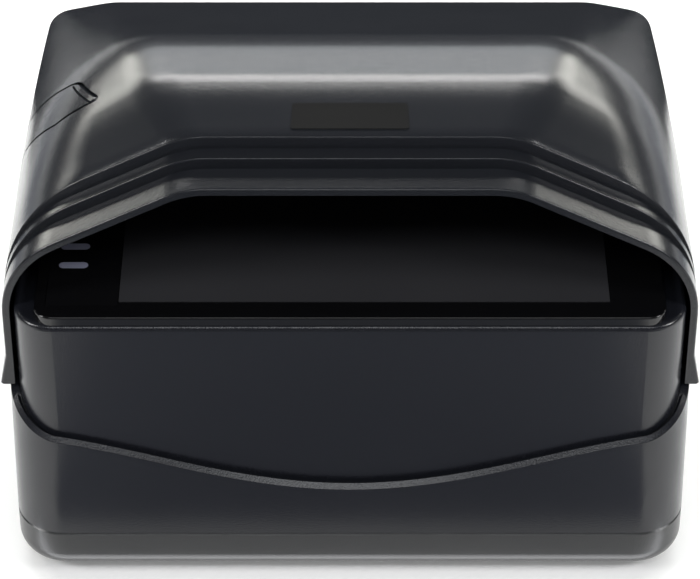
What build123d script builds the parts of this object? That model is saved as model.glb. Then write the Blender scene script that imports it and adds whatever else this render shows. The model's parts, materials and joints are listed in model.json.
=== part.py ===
from build123d import *
from math import asin, atan2, cos, degrees, hypot, radians, sin, tan
import os

# Travel document scanner: a desk reader for passports and identity cards.
# Origin at the bottom centre of the feet, +Z up, the open front of the hood faces -Y.
# All lengths are in millimetres and all angles in degrees.

# Base outline
BASE_WIDTH = 184.5
BASE_DEPTH = 170.0
BASE_CORNER = 14.0
FOOT_GAP = 2.0
TRAY_HEIGHT = 13.6
TRAY_WALL = 2.6
TRAY_FLOOR = 2.4
TRAY_EDGE = 6.0
PARTING_GROOVE = 0.4
SKIRT_HEIGHT = 43.3
SKIRT_DRAFT = 1.0
SHELF_WIDTH = 3.2
SHELL_FIT = 0.15

# Curved front shelf: depth of the dip below the side shelf at distances from the centre line
SHELF_DIP = 27.2
SHELF_DIP_QUARTER = 22.7
SHELF_DIP_MIDDLE = 15.8
SHELF_DIP_CORNER = 10.6

# The same line's places, as shares of the straight front, and its climb round the corner
SHELF_QUARTER_SHARE = 0.43
SHELF_MIDDLE_SHARE = 0.74
SHELF_CORNER_STEPS = 6
SHELF_CORNER_LEAD = 1.1
SHELF_CORNER_POWER = 1.5

# Upper housing
HOUSING_RISE = 27.4
HOUSING_WALL = 2.0
HOUSING_EDGE = 1.5
HOUSING_HOOD_GAP = 1.0

# Glossy deck plate and what is let into it
DECK_INSET = 5.85
DECK_FRONT_INSET = 0.8
DECK_THICKNESS = 2.6
DECK_CORNER = 5.0
DECK_BACK_BORDER = 14.0
DECK_EDGE = 0.5
GLASS_FROM_LEFT = 28.15
GLASS_FROM_RIGHT = 20.65
GLASS_DEPTH = 93.0
GLASS_THICKNESS = 2.1
GLASS_PROUD = 0.1
GLASS_FROM_FRONT = 10.7
WINDOW_RIM = 2.0
INLAY_GAP = 0.15
STRIP_WIDTH = 19.0
STRIP_FROM_FRONT = 9.1
STRIP_BRIDGE = 0.2
LIGHT_BAR_LENGTH = 7.8
LIGHT_BAR_WIDTH = 2.6
LIGHT_BAR_PITCH = 8.1
LIGHT_BAR_COUNT = 3
LIGHT_BAR_FROM_FRONT = 26.4
LIGHT_BAR_FROM_STRIP = 6.3
LIGHT_BAR_FIT = 0.05

# Hinge at the back
HINGE_FROM_BACK = 14.0
HINGE_DROP = 12.0
BARREL_RADIUS = 11.0
BARREL_END = -50.0
TROUGH_GAP = 1.0
TROUGH_LIP = 1.5
HINGE_FROM_SIDE = 25.05
BRACKET_ARM = 8.0
BRACKET_PLATE_WIDTH = 26.0
BRACKET_PLATE_HEIGHT = 14.0
BRACKET_PLATE = 2.5
BRACKET_HUB_RADIUS = 5.0
WEB_THICKNESS = 3.0
WEB_HUB_RADIUS = 4.6
WASHER_THICKNESS = 0.5
WASHER_RADIUS = 4.2
PIN_RADIUS = 2.0
PIN_RUNNING_GAP = 0.05
PIN_TIGHT_GAP = 0.01
PIN_END = 1.5
PIN_CHAMFER = 0.33
HINGE_SCREW_HEAD_HEIGHT = 1.2
CLIP_RADIUS = 3.4
CLIP_THICKNESS = 0.6

# Hood
HOOD_WALL = 2.0
HOOD_SIDE_GAP = 1.1
HOOD_REST_GAP = 0.4
HOOD_FLARE = 1.85
HOOD_FLARE_HEIGHT = 9.7
HOOD_FROM_FRONT = 12.3
CROWN_ROUND = 25.0
RIM_HEIGHT = 65.1
TERRACE_ONE_DEPTH = 6.95
TERRACE_TWO_DEPTH = 3.25
TERRACE_ONE_RISE = 3.3
TERRACE_TWO_RISE = 3.7
TERRACE_SLOPE = 13.5
SLOPE_BREAK = 11.0
SLOPE_BREAK_RISE = 3.3
CREST_FROM_BODY = 20.3
CREST_RISE = 5.5
PLATEAU_DEPTH = 9.4
PLATEAU_BEND_RUN = 9.14
RIM_SHOULDER = 49.15
BODY_SHOULDER = 48.65
CREST_SHOULDER = 39.45
PLATEAU_SHOULDER = 37.65
TAIL_SHOULDER = 21.15
RIM_ANGLE = 27.0
BODY_ANGLE = 27.5
CREST_ANGLE = 35.0
PLATEAU_ANGLE = 34.0
TAIL_ANGLE = 14.5
RIM_WALL_HEIGHT = 24.2
TERRACE_WALL_HEIGHT = 24.8
BODY_WALL_HEIGHT = 23.9
CREST_WALL_HEIGHT = 21.5
PLATEAU_WALL_HEIGHT = 21.0
TAIL_WALL_HEIGHT = 10.6
TAIL_STATIONS = 4

# Label plate on the front slope
LABEL_TOP_WIDTH = 29.7
LABEL_BOTTOM_WIDTH = 30.6
LABEL_LENGTH = 8.4
LABEL_THICKNESS = 0.4
LABEL_FROM_BODY = 2.3
LABEL_CORNER = 0.8

# Release lever: its outline seen from the side, as distance behind the hood's rim and height above its edge
LEVER_FRONT_EDGE = ((32.7, 70.5), (36.3, 59.8), (49.6, 41.6), (53.7, 28.7), (53.7, 10.8))
LEVER_BACK_EDGE = ((71.7, 10.8), (71.7, 30.7), (69.1, 38.1), (54.4, 56.1), (45.9, 66.6))
LEVER_SIDE_GAP = 0.6
LEVER_END_GAP = 1.0
LEVER_REACH = 39.3
LEVER_PIN_RADIUS = 1.25
LEVER_PIN_HEIGHT = 35.7
LEVER_PIN_INSET = 8.65
LEVER_HUB_RADIUS = 3.0
LEVER_HUB_MARGIN = 2.0
LEVER_EAR = 2.5
LEVER_EAR_GAP = 0.4
LEVER_SPRING_OUTER = 2.8
LEVER_SPRING_INNER = 1.6
LEVER_SPRING_GAP = 0.3
MAGNET_RADIUS = 4.0
MAGNET_THICKNESS = 1.8
MAGNET_HEIGHT = 16.0
STRIKE_SIZE = 13.0
STRIKE_THICKNESS = 1.0
LATCH_GAP = 0.3

# Feet, bumpers and case screws
FOOT_RADIUS = 6.0
FOOT_RECESS = 1.0
FOOT_FROM_SIDE = 20.0
FOOT_FROM_END = 20.0
BUMPER_RADIUS = 0.9
BUMPER_CLEARANCE = 0.1
BUMPER_FROM_RIM = (8.0, 108.0)
CASE_SCREW_RADIUS = 1.5
CASE_SCREW_HEAD = 2.8
CASE_SCREW_HEAD_HEIGHT = 2.2
CASE_SCREW_LENGTH = 20.0
CASE_SCREW_SEAT_DROP = 4.5
CASE_POST_RADIUS = 4.0
CASE_POST_FROM_SIDE = 11.8
CASE_POST_FROM_FRONT = 13.0
CASE_POST_FROM_BACK = 34.0
SCREW_GAP = 0.05
SCREW_CROSS_REACH = 0.6
SCREW_CROSS_WIDTH = 0.12
SCREW_CROSS_DEPTH = 0.45

# Light box and what hangs from it
BOX_WALL = 1.8
BOX_RIM_GAP = 0.5
BOX_FLOOR_DROP = 54.0
BOX_FLOOR = 2.0
BOX_EAR = 8.0
BOX_EAR_THICKNESS = 2.0
BOX_EAR_SPACING = 20.0
BOX_SCREW_RADIUS = 1.25
BOX_SCREW_HEAD = 2.3
BOX_SCREW_HEAD_HEIGHT = 1.6
BOARD = 1.6
LAMP_BOARD_HEIGHT = 12.0
LAMP_BOARD_DROP = 12.0
LAMP_BOARD_END_GAP = 8.0
LAMP_SIZE = 3.5
LAMP_THICKNESS = 1.4
WHITE_LAMP_COUNT = 8
UV_LAMP_COUNT = 6
DIFFUSER_THICKNESS = 1.5
DIFFUSER_GAP = 0.6
DIFFUSER_FOOT = 2.0

# Camera
CAMERA_BOARD_SIZE = 34.0
CAMERA_STANDOFF = 5.0
CAMERA_POST_RADIUS = 2.2
CAMERA_SCREW_RADIUS = 1.0
CAMERA_SCREW_HEAD = 1.9
CAMERA_SCREW_HEAD_HEIGHT = 1.3
SENSOR_SIZE = 9.0
SENSOR_THICKNESS = 1.2
LENS_HOLDER_SIZE = 18.0
LENS_HOLDER_HEIGHT = 5.0
LENS_HOLDER_WALL = 1.5
LENS_NECK_RADIUS = 7.4
LENS_NECK_HEIGHT = 7.0
LENS_RADIUS = 6.0
LENS_FIT = 0.05
LENS_NECK_GAP = 0.2
LENS_BARREL_HEIGHT = 12.0
LENS_CAP_RADIUS = 7.0
LENS_CAP_HEIGHT = 3.0
LENS_BORE = 4.6
LENS_SEAT = 2.5
FRONT_LENS_RADIUS = 5.4
FRONT_LENS_DOME = 1.6
FRONT_LENS_EDGE = 1.0

# Antenna and indicator boards
ANTENNA_WIDTH = 5.0
ANTENNA_GAP = 0.4
ANTENNA_FRONT_WIDTH = 3.0
INDICATOR_BOARD_WIDTH = 10.0
INDICATOR_BOARD_LENGTH = 34.0
INDICATOR_POST_RADIUS = 1.8
INDICATOR_DROP = 3.4
INDICATOR_LAMP_HEIGHT = 0.8
POST_MARGIN = 0.8

# Main board and its connectors
MAIN_BOARD_HEIGHT = 15.0
MAIN_BOARD_POST_GAP = 1.45
MAIN_BOARD_LENGTH = 118.0
MAIN_BOARD_BACK_GAP = 1.0
MAIN_POST_RADIUS = 3.5
MAIN_POST_INSET = 6.0
MAIN_SCREW_RADIUS = 1.25
MAIN_SCREW_HEAD = 2.5
MAIN_SCREW_HEAD_HEIGHT = 1.6
MAIN_SCREW_LENGTH = 6.0
PROCESSOR_X = 37.5
PROCESSOR_FROM_BACK = 53.3
CHIP_SIZE = 16.0
CHIP_THICKNESS = 1.6
SMALL_CHIP_SIZE = 10.6
SMALL_CHIP_THICKNESS = 1.2
SMALL_CHIP_PITCH = 26.0
CAPACITOR_RADIUS = 3.2
CAPACITOR_HEIGHT = 6.4
CAPACITOR_PITCH = 8.0
CAPACITOR_COUNT = 3
CAPACITOR_FROM_BACK = 42.0
SINK_SIZE = 22.0
SINK_BASE = 1.0
SINK_HEIGHT = 3.4
SINK_FINS = 7
SINK_FIN_SHARE = 0.45
USB_FROM_JACK = 24.0
USB_WIDTH = 12.0
USB_HEIGHT = 10.9
USB_LENGTH = 16.5
USB_SHELL = 0.7
USB_DEPTH = 9.0
USB_TONGUE_WIDTH = 5.6
USB_TONGUE_HEIGHT = 3.2
USB_CHAMFER = 2.0
JACK_FROM_BOARD_SIDE = 21.0
JACK_WIDTH = 9.4
JACK_HEIGHT = 11.0
JACK_LENGTH = 14.0
JACK_BORE = 3.2
JACK_PIN = 1.0
JACK_DEPTH = 9.5
CONNECTOR_PROUD = 1.2
CONNECTOR_GAP = 0.4

# Power switch
SWITCH_FROM_SIDE = 40.25
SWITCH_RISE = 13.0
SWITCH_FRAME_WIDTH = 15.0
SWITCH_FRAME_HEIGHT = 10.5
SWITCH_FRAME_FLANGE = 1.2
SWITCH_BODY_WIDTH = 13.4
SWITCH_BODY_HEIGHT = 8.8
SWITCH_BODY_DEPTH = 12.0
SWITCH_WALL = 0.9
SWITCH_POCKET = 5.6
SWITCH_GAP = 0.3
ROCKER_AXIS_DEPTH = 3.0
ROCKER_HALF_TILT = 9.0
ROCKER_PIVOT_RADIUS = 0.8
ROCKER_PIVOT_SEAT = 0.6
ROCKER_PEAK = 4.0
ROCKER_VALLEY = 2.6
ROCKER_FLANK = 0.4
ROCKER_FLANK_SHARE = 0.96
ROCKER_KEEL = 1.5
ROCKER_KEEL_SHARE = 0.35

# Flexible flat cable from the camera to the main board
FLEX_WIDTH = 12.0
FLEX_THICKNESS = 0.4
FLEX_BEND = 1.5
FLEX_FROM_BACK = 74.8
FLEX_SOCKET_HEIGHT = 2.0
FLEX_SOCKET_DEPTH = 5.0
FLEX_SOCKET_MARGIN = 2.0

# Places worked out from the sizes above
FRONT = -BASE_DEPTH / 2
BACK = BASE_DEPTH / 2
HALF_WIDTH = BASE_WIDTH / 2
PARTING = FOOT_GAP + TRAY_HEIGHT
SHELF = PARTING + SKIRT_HEIGHT
HOUSING_TOP = SHELF + HOUSING_RISE
HOUSING_HALF = HALF_WIDTH - SHELF_WIDTH
HOUSING_CORNER = BASE_CORNER - SHELF_WIDTH
CEILING = HOUSING_TOP - HOUSING_WALL
DECK_TOP = HOUSING_TOP + DECK_THICKNESS
HOOD_EDGE = SHELF + HOOD_REST_GAP
HOOD_HALF = HOUSING_HALF + HOOD_SIDE_GAP + HOOD_WALL
HOOD_RIM = FRONT + HOOD_FROM_FRONT
AXIS_Y = BACK - HINGE_FROM_BACK
AXIS_Z = HOUSING_TOP - HINGE_DROP
TROUGH_RADIUS = BARREL_RADIUS + TROUGH_GAP
TROUGH_FRONT = AXIS_Y - TROUGH_RADIUS
HINGE_X = HOUSING_HALF - HINGE_FROM_SIDE
GLASS_LEFT = GLASS_FROM_LEFT - HOUSING_HALF
GLASS_RIGHT = HOUSING_HALF - GLASS_FROM_RIGHT
GLASS_FRONT = FRONT + GLASS_FROM_FRONT
GLASS_BACK = GLASS_FRONT + GLASS_DEPTH
MAIN_BOARD_HALF = HALF_WIDTH - CASE_POST_FROM_SIDE - CASE_POST_RADIUS - MAIN_BOARD_POST_GAP
JACK_X = JACK_FROM_BOARD_SIDE - MAIN_BOARD_HALF
USB_X = JACK_X + USB_FROM_JACK
SWITCH_X = HALF_WIDTH - SWITCH_FROM_SIDE
MAIN_BOARD_TOP = FOOT_GAP + MAIN_BOARD_HEIGHT + BOARD
HOUSING_BACK = BACK - SHELF_WIDTH
FAR = 2 * max(BASE_WIDTH, BASE_DEPTH)


def block(x0, x1, y0, y1, z0, z1):
    """Box between two corners."""
    middle = Pos((x0 + x1) / 2, (y0 + y1) / 2, (z0 + z1) / 2)
    return middle * Box(x1 - x0, y1 - y0, z1 - z0)


def rounded_block(half_x, y0, y1, corner, z0, z1, x_mid=0.0):
    """Upright block with rounded plan corners."""
    plan = RectangleRounded(2 * half_x, y1 - y0, corner)
    return extrude(Pos(x_mid, (y0 + y1) / 2, z0) * plan, z1 - z0)


def rod_x(radius, x0, x1, y, z):
    """Round bar along X."""
    return Pos((x0 + x1) / 2, y, z) * Rot(0, 90, 0) * Cylinder(radius, x1 - x0)


def rod_y(radius, y0, y1, x, z):
    """Round bar along Y."""
    return Pos(x, (y0 + y1) / 2, z) * Rot(90, 0, 0) * Cylinder(radius, y1 - y0)


def rod_z(radius, z0, z1, x, y):
    """Round bar along Z."""
    return Pos(x, y, (z0 + z1) / 2) * Cylinder(radius, z1 - z0)


def side_plate(points, x0, x1):
    """Plate from a straight-edged outline in Y and Z, between two places along X."""
    outline = make_face(Polyline(*points, close=True))
    return extrude(Plane.YZ.offset(x0) * outline, x1 - x0)


def mirrored(shape):
    """The same shape on the other side of the centre plane."""
    return mirror(shape, about=Plane.YZ)


def on_axis(radius, angle):
    """Point in Y and Z at a radius and angle about the hood's hinge axis."""
    return (AXIS_Y + radius * cos(radians(angle)), AXIS_Z + radius * sin(radians(angle)))


def case_posts():
    """Places of the four case screws."""
    x = HALF_WIDTH - CASE_POST_FROM_SIDE
    ends = (FRONT + CASE_POST_FROM_FRONT, BACK - CASE_POST_FROM_BACK)
    return [(side * x, y) for side in (-1, 1) for y in ends]


def board_posts():
    """Places of the four main board screws."""
    x = MAIN_BOARD_HALF - MAIN_POST_INSET
    back = HOUSING_BACK - HOUSING_WALL - MAIN_BOARD_BACK_GAP - MAIN_POST_INSET
    front = back - MAIN_BOARD_LENGTH + 2 * MAIN_POST_INSET
    return [(side * x, y) for side in (-1, 1) for y in (front, back)]


def connector_cuts():
    """Openings in the back wall for the two sockets and the power switch."""
    cuts = []
    for x, width, height in ((USB_X, USB_WIDTH, USB_HEIGHT), (JACK_X, JACK_WIDTH, JACK_HEIGHT)):
        half = width / 2 + CONNECTOR_GAP
        low = MAIN_BOARD_TOP - CONNECTOR_GAP
        high = MAIN_BOARD_TOP + height + CONNECTOR_GAP
        cuts.append(block(x - half, x + half, TROUGH_FRONT, FAR, low, high))
    half = SWITCH_BODY_WIDTH / 2 + SHELL_FIT
    rise = SWITCH_BODY_HEIGHT / 2 + SHELL_FIT
    z = PARTING + SWITCH_RISE
    cuts.append(block(SWITCH_X - half, SWITCH_X + half, TROUGH_FRONT, FAR, z - rise, z + rise))
    return cuts


def base_tray():
    """Shallow floor tray with the rounded bottom edge."""
    tray = rounded_block(HALF_WIDTH, FRONT, BACK, BASE_CORNER, FOOT_GAP, PARTING)
    tray = fillet(tray.edges().group_by(Axis.Z)[0], TRAY_EDGE)
    tray = chamfer(tray.edges().group_by(Axis.Z)[-1], PARTING_GROOVE)
    inner_half = HALF_WIDTH - TRAY_WALL
    floor = FOOT_GAP + TRAY_FLOOR
    room = rounded_block(inner_half, FRONT + TRAY_WALL, BACK - TRAY_WALL, BASE_CORNER - TRAY_WALL, floor, FAR)
    room = fillet(room.edges().group_by(Axis.Z)[0], TRAY_EDGE - TRAY_FLOOR)
    tray -= room
    for x, y in case_posts():
        tray += rod_z(CASE_POST_RADIUS, FOOT_GAP + TRAY_FLOOR / 2, PARTING, x, y)
    for x, y in board_posts():
        tray += rod_z(MAIN_POST_RADIUS, FOOT_GAP + TRAY_FLOOR / 2, MAIN_BOARD_TOP - BOARD, x, y)
    for x, y in case_posts():
        head_top = PARTING - CASE_SCREW_SEAT_DROP
        tray -= rod_z(CASE_SCREW_HEAD + SHELL_FIT, 0, head_top, x, y)
        tray -= rod_z(CASE_SCREW_RADIUS + SHELL_FIT, 0, FAR, x, y)
    for x, y in board_posts():
        low = MAIN_BOARD_TOP - MAIN_SCREW_LENGTH - SHELL_FIT
        tray -= rod_z(MAIN_SCREW_RADIUS + SCREW_GAP, low, FAR, x, y)
    for x, y in foot_places():
        tray -= rod_z(FOOT_RADIUS + SHELL_FIT, 0, FOOT_GAP + FOOT_RECESS, x, y)
    return tray


def foot_places():
    """Places of the four feet."""
    x = HALF_WIDTH - FOOT_FROM_SIDE
    return [(side * x, end * (BACK - FOOT_FROM_END)) for side in (-1, 1) for end in (-1, 1)]


def rubber_feet():
    """Four round stick-on feet, each let into a shallow recess."""
    return [rod_z(FOOT_RADIUS, 0, FOOT_GAP + FOOT_RECESS, x, y) for x, y in foot_places()]


def shelf_cutter():
    """Everything above the curved shelf line across the front and round both front corners."""
    corner_x = HALF_WIDTH - BASE_CORNER
    deep = FRONT + BASE_CORNER
    points = (
        (0, SHELF - SHELF_DIP),
        (corner_x * SHELF_QUARTER_SHARE, SHELF - SHELF_DIP_QUARTER),
        (corner_x * SHELF_MIDDLE_SHARE, SHELF - SHELF_DIP_MIDDLE),
        (corner_x, SHELF - SHELF_DIP_CORNER),
    )
    mirror_points = [(-x, z) for x, z in reversed(points[1:])]
    curve = Spline(*mirror_points, *points)
    low = SHELF - SHELF_DIP_CORNER
    closing = Polyline((corner_x, low), (corner_x, FAR), (-corner_x, FAR), (-corner_x, low))
    front_plane = Plane(origin=(0, deep, 0), x_dir=(1, 0, 0), z_dir=(0, -1, 0))
    cutter = extrude(front_plane * make_face([curve, closing]), 2 * BASE_CORNER)
    corner = shelf_corner_cutter(corner_x, deep)
    return [cutter, corner, mirrored(corner)]


def shelf_corner_cutter(corner_x, corner_y):
    """The same shelf line climbing round the right front corner to the side shelf."""
    inner_radius = HOUSING_CORNER - SHELF_WIDTH
    outer_radius = BASE_CORNER + SHELF_WIDTH
    edges = []
    for radius in (inner_radius, outer_radius):
        rail = []
        for step in range(SHELF_CORNER_STEPS + 1):
            share = step / SHELF_CORNER_STEPS
            angle = radians(90 * share)
            climb = min(1, share * SHELF_CORNER_LEAD) ** SHELF_CORNER_POWER
            z = SHELF - SHELF_DIP_CORNER * (1 - climb)
            rail.append((corner_x + radius * sin(angle), corner_y - radius * cos(angle), z))
        edges.append(Spline(*rail).edge())
    ramp = Face.make_surface_from_curves(edges[0], edges[1])
    return extrude(ramp, FAR, dir=(0, 0, 1))


def lower_skirt():
    """Tapered belt round the base, whose top edge is the shelf."""
    outline = Pos(0, 0, PARTING) * RectangleRounded(BASE_WIDTH, BASE_DEPTH, BASE_CORNER)
    skirt = extrude(outline, SKIRT_HEIGHT, taper=SKIRT_DRAFT)
    skirt = chamfer(skirt.edges().group_by(Axis.Z)[0], PARTING_GROOVE)
    fit_half = HOUSING_HALF + SHELL_FIT
    fit_end = HOUSING_BACK + SHELL_FIT
    skirt -= rounded_block(fit_half, -fit_end, fit_end, HOUSING_CORNER + SHELL_FIT, 0, FAR)
    for cutter in shelf_cutter():
        skirt -= cutter
    for cutter in connector_cuts():
        skirt -= cutter
    half = SWITCH_FRAME_WIDTH / 2 + SHELL_FIT
    rise = SWITCH_FRAME_HEIGHT / 2 + SHELL_FIT
    z = PARTING + SWITCH_RISE
    near = switch_face() - SWITCH_FRAME_FLANGE
    skirt -= block(SWITCH_X - half, SWITCH_X + half, near, FAR, z - rise, z + rise)
    for x, y in bumper_places():
        skirt -= rod_z(BUMPER_RADIUS + SHELL_FIT, SHELF - HOOD_REST_GAP, FAR, x, y)
    return skirt


def bumper_places():
    """Places of the hood's four rest bumpers on the side shelves."""
    outer = HALF_WIDTH - SKIRT_HEIGHT * tan(radians(SKIRT_DRAFT))
    x = (HOUSING_HALF + SHELL_FIT + outer) / 2
    return [(side * x, HOOD_RIM + along) for side in (-1, 1) for along in BUMPER_FROM_RIM]


def hood_bumpers():
    """Four small rubber studs that the closed hood rests over."""
    top = HOOD_EDGE - BUMPER_CLEARANCE
    return [rod_z(BUMPER_RADIUS, SHELF - HOOD_REST_GAP, top, x, y) for x, y in bumper_places()]


def trough(grow=0.0):
    """Space for the hood's barrel across the back of the housing."""
    radius = TROUGH_RADIUS + grow
    lip_y = HOUSING_BACK - TROUGH_LIP - AXIS_Y
    lip_z = AXIS_Z - (TROUGH_RADIUS ** 2 - lip_y ** 2) ** 0.5 - grow
    space = rod_x(radius, -FAR, FAR, AXIS_Y, AXIS_Z)
    space += block(-FAR, FAR, AXIS_Y - radius, FAR, AXIS_Z, FAR)
    space += block(-FAR, FAR, AXIS_Y, FAR, lip_z, FAR)
    return space


def over_housing(inset):
    """Space above the housing's back corners that the closed hood needs."""
    depth = HOOD_WALL + HOUSING_HOOD_GAP + inset
    stations = body_stations()
    under = loft([station.face(depth) for station in stations], ruled=True)
    return block(-FAR, FAR, GLASS_BACK, BACK, HOOD_EDGE, FAR) - under


def upper_housing():
    """Inner shell with the top plate, the hinge trough and four long screw posts."""
    shell = rounded_block(HOUSING_HALF, -HOUSING_BACK, HOUSING_BACK, HOUSING_CORNER, PARTING, HOUSING_TOP)
    shell = fillet(shell.edges().group_by(Axis.Z)[-1], HOUSING_EDGE)
    shell -= trough()
    shell -= over_housing(0.0)
    half = HOUSING_HALF - HOUSING_WALL
    end = HOUSING_BACK - HOUSING_WALL
    room = rounded_block(half, -end, end, HOUSING_CORNER - HOUSING_WALL, 0, CEILING)
    room -= trough(HOUSING_WALL)
    room -= over_housing(HOUSING_WALL)
    shell -= room
    for x, y in case_posts():
        shell += rod_z(CASE_POST_RADIUS, PARTING, CEILING + HOUSING_WALL / 2, x, y)
        top = PARTING + CASE_SCREW_LENGTH
        shell -= rod_z(CASE_SCREW_RADIUS + SCREW_GAP, 0, top, x, y)
    for x, y in indicator_posts():
        low = CEILING - INDICATOR_DROP
        shell += rod_z(INDICATOR_POST_RADIUS, low, CEILING + HOUSING_WALL / 2, x, y)
    shell -= block(
        GLASS_LEFT + WINDOW_RIM, GLASS_RIGHT - WINDOW_RIM, GLASS_FRONT + WINDOW_RIM, GLASS_BACK - WINDOW_RIM,
        CEILING - HOUSING_WALL, FAR,
    )
    for bar in light_bars(INLAY_GAP):
        shell -= bar
    for x, y in box_ears():
        shell -= rod_z(BOX_SCREW_RADIUS + SCREW_GAP, CEILING - HOUSING_WALL, HOUSING_TOP, x, y)
    for x, z in bracket_screws():
        shell -= rod_y(BOX_SCREW_RADIUS + SCREW_GAP, 0, FAR, x, z) & block(
            -FAR, FAR, TROUGH_FRONT - HOUSING_WALL * 2, TROUGH_FRONT, AXIS_Z - TROUGH_RADIUS, FAR
        )
    for cutter in connector_cuts():
        shell -= cutter
    y, z = magnet_place()
    half = STRIKE_SIZE / 2 + INLAY_GAP
    shell -= block(-FAR, -HOUSING_HALF + STRIKE_THICKNESS, y - half, y + half, z - half, z + half)
    return shell


def deck_plate():
    """Glossy top plate with openings for the glass and the indicator strip."""
    half = HALF_WIDTH - SHELF_WIDTH - DECK_INSET
    front = FRONT + SHELF_WIDTH + DECK_FRONT_INSET
    back = GLASS_BACK + DECK_BACK_BORDER
    plate = rounded_block(half, front, back, DECK_CORNER, HOUSING_TOP, DECK_TOP)
    plate = fillet(plate.edges().group_by(Axis.Z)[-1], DECK_EDGE)
    gap = INLAY_GAP
    plate -= block(GLASS_LEFT - gap, GLASS_RIGHT + gap, GLASS_FRONT - gap, GLASS_BACK + gap, 0, FAR)
    left, right = strip_span()
    plate -= block(left - gap, right + gap, FRONT + STRIP_FROM_FRONT - gap, GLASS_BACK + gap, 0, FAR)
    return plate


def strip_span():
    """Left and right edges of the indicator strip."""
    right = GLASS_LEFT - STRIP_BRIDGE
    return right - STRIP_WIDTH, right


def document_glass():
    """Glass plate that the open page lies on."""
    top = DECK_TOP + GLASS_PROUD
    return block(GLASS_LEFT, GLASS_RIGHT, GLASS_FRONT, GLASS_BACK, top - GLASS_THICKNESS, top)


def glass_gasket():
    """Foam frame under the rim of the glass."""
    low, high = HOUSING_TOP, DECK_TOP + GLASS_PROUD - GLASS_THICKNESS
    frame = block(GLASS_LEFT, GLASS_RIGHT, GLASS_FRONT, GLASS_BACK, low, high)
    rim = WINDOW_RIM
    return frame - block(GLASS_LEFT + rim, GLASS_RIGHT - rim, GLASS_FRONT + rim, GLASS_BACK - rim, 0, FAR)


def light_bars(gap=0.0):
    """Rounded light bars that rise through the indicator strip."""
    left = strip_span()[0]
    x = left + LIGHT_BAR_FROM_STRIP
    low = CEILING - INDICATOR_DROP + INDICATOR_LAMP_HEIGHT
    bars = []
    for number in range(LIGHT_BAR_COUNT):
        y = FRONT + LIGHT_BAR_FROM_FRONT + number * LIGHT_BAR_PITCH
        plan = Pos(x, y, low) * SlotOverall(LIGHT_BAR_LENGTH + 2 * gap, LIGHT_BAR_WIDTH + 2 * gap)
        bars.append(extrude(plan, DECK_TOP - low))
    return bars


def indicator_strip():
    """Smoked strip beside the glass, pierced for the light bars."""
    left, right = strip_span()
    strip = block(left, right, FRONT + STRIP_FROM_FRONT, GLASS_BACK, HOUSING_TOP, DECK_TOP)
    for bar in light_bars(LIGHT_BAR_FIT):
        strip -= bar
    return strip


def indicator_posts():
    """Places of the two posts of the indicator board."""
    x = strip_span()[0] + LIGHT_BAR_FROM_STRIP
    middle = FRONT + LIGHT_BAR_FROM_FRONT + (LIGHT_BAR_COUNT - 1) * LIGHT_BAR_PITCH / 2
    reach = INDICATOR_BOARD_LENGTH / 2 - INDICATOR_POST_RADIUS - POST_MARGIN
    return [(x, middle - reach), (x, middle + reach)]


def indicator_board():
    """Small board under the light bars."""
    (x, front), (_, back) = indicator_posts()
    middle = (front + back) / 2
    half_x = INDICATOR_BOARD_WIDTH / 2
    half_y = INDICATOR_BOARD_LENGTH / 2
    top = CEILING - INDICATOR_DROP
    return block(x - half_x, x + half_x, middle - half_y, middle + half_y, top - BOARD, top)


def indicator_lamps():
    """One flat lamp under each light bar."""
    x = strip_span()[0] + LIGHT_BAR_FROM_STRIP
    low = CEILING - INDICATOR_DROP
    lamps = []
    for number in range(LIGHT_BAR_COUNT):
        y = FRONT + LIGHT_BAR_FROM_FRONT + number * LIGHT_BAR_PITCH
        half = LIGHT_BAR_WIDTH / 2
        lamps.append(block(x - half, x + half, y - half, y + half, low, low + INDICATOR_LAMP_HEIGHT))
    return lamps


def box_span():
    """Outer edges of the light box: left, right, front and back."""
    reach = WINDOW_RIM - BOX_RIM_GAP - BOX_WALL
    return GLASS_LEFT + reach, GLASS_RIGHT - reach, GLASS_FRONT + reach, GLASS_BACK - reach


def box_ears():
    """Places of the screws in the light box's four ears."""
    left, right, front, back = box_span()
    ear = BOX_EAR / 2
    return [(x, y) for x in (left - ear, right + ear) for y in (back - ear - BOX_EAR_SPACING, back - ear)]


def light_box():
    """Black open-topped box that keeps stray light out, hung under the top plate."""
    left, right, front, back = box_span()
    floor = DECK_TOP - BOX_FLOOR_DROP - BOX_FLOOR
    shell = block(left, right, front, back, floor, CEILING)
    wall = BOX_WALL
    shell -= block(left + wall, right - wall, front + wall, back - wall, floor + BOX_FLOOR, FAR)
    half = BOX_EAR / 2
    for x, y in box_ears():
        shell += block(x - half, x + half, y - half, y + half, CEILING - BOX_EAR_THICKNESS, CEILING)
        shell -= rod_z(BOX_SCREW_RADIUS + SCREW_GAP, CEILING - BOX_EAR, FAR, x, y)
    x, y = lens_axis()
    shell -= rod_z(LENS_NECK_RADIUS + LENS_NECK_GAP, 0, CEILING, x, y)
    for px, py in camera_posts():
        shell += rod_z(CAMERA_POST_RADIUS, floor - CAMERA_STANDOFF, floor + BOX_FLOOR / 2, px, py)
        low = floor - CAMERA_STANDOFF
        shell -= rod_z(CAMERA_SCREW_RADIUS + SCREW_GAP, low, low + CAMERA_STANDOFF, px, py)
    return shell


def headed_screw(x, y, seat, shank, shank_length, head, head_height, up=True):
    """Pan-head screw along Z with a cross recess, its head under (or on) its seat."""
    sign = 1 if up else -1
    low, high = sorted((seat, seat + sign * shank_length))
    head_low, head_high = sorted((seat, seat - sign * head_height))
    screw = rod_z(shank, low, high, x, y) + rod_z(head, head_low, head_high, x, y)
    face = head_low if up else head_high
    slot = head * SCREW_CROSS_REACH
    width = head * SCREW_CROSS_WIDTH
    depth = head_height * SCREW_CROSS_DEPTH
    for dx, dy in ((slot, width), (width, slot)):
        screw -= block(x - dx, x + dx, y - dy, y + dy, face - depth, face + depth)
    return screw


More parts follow.
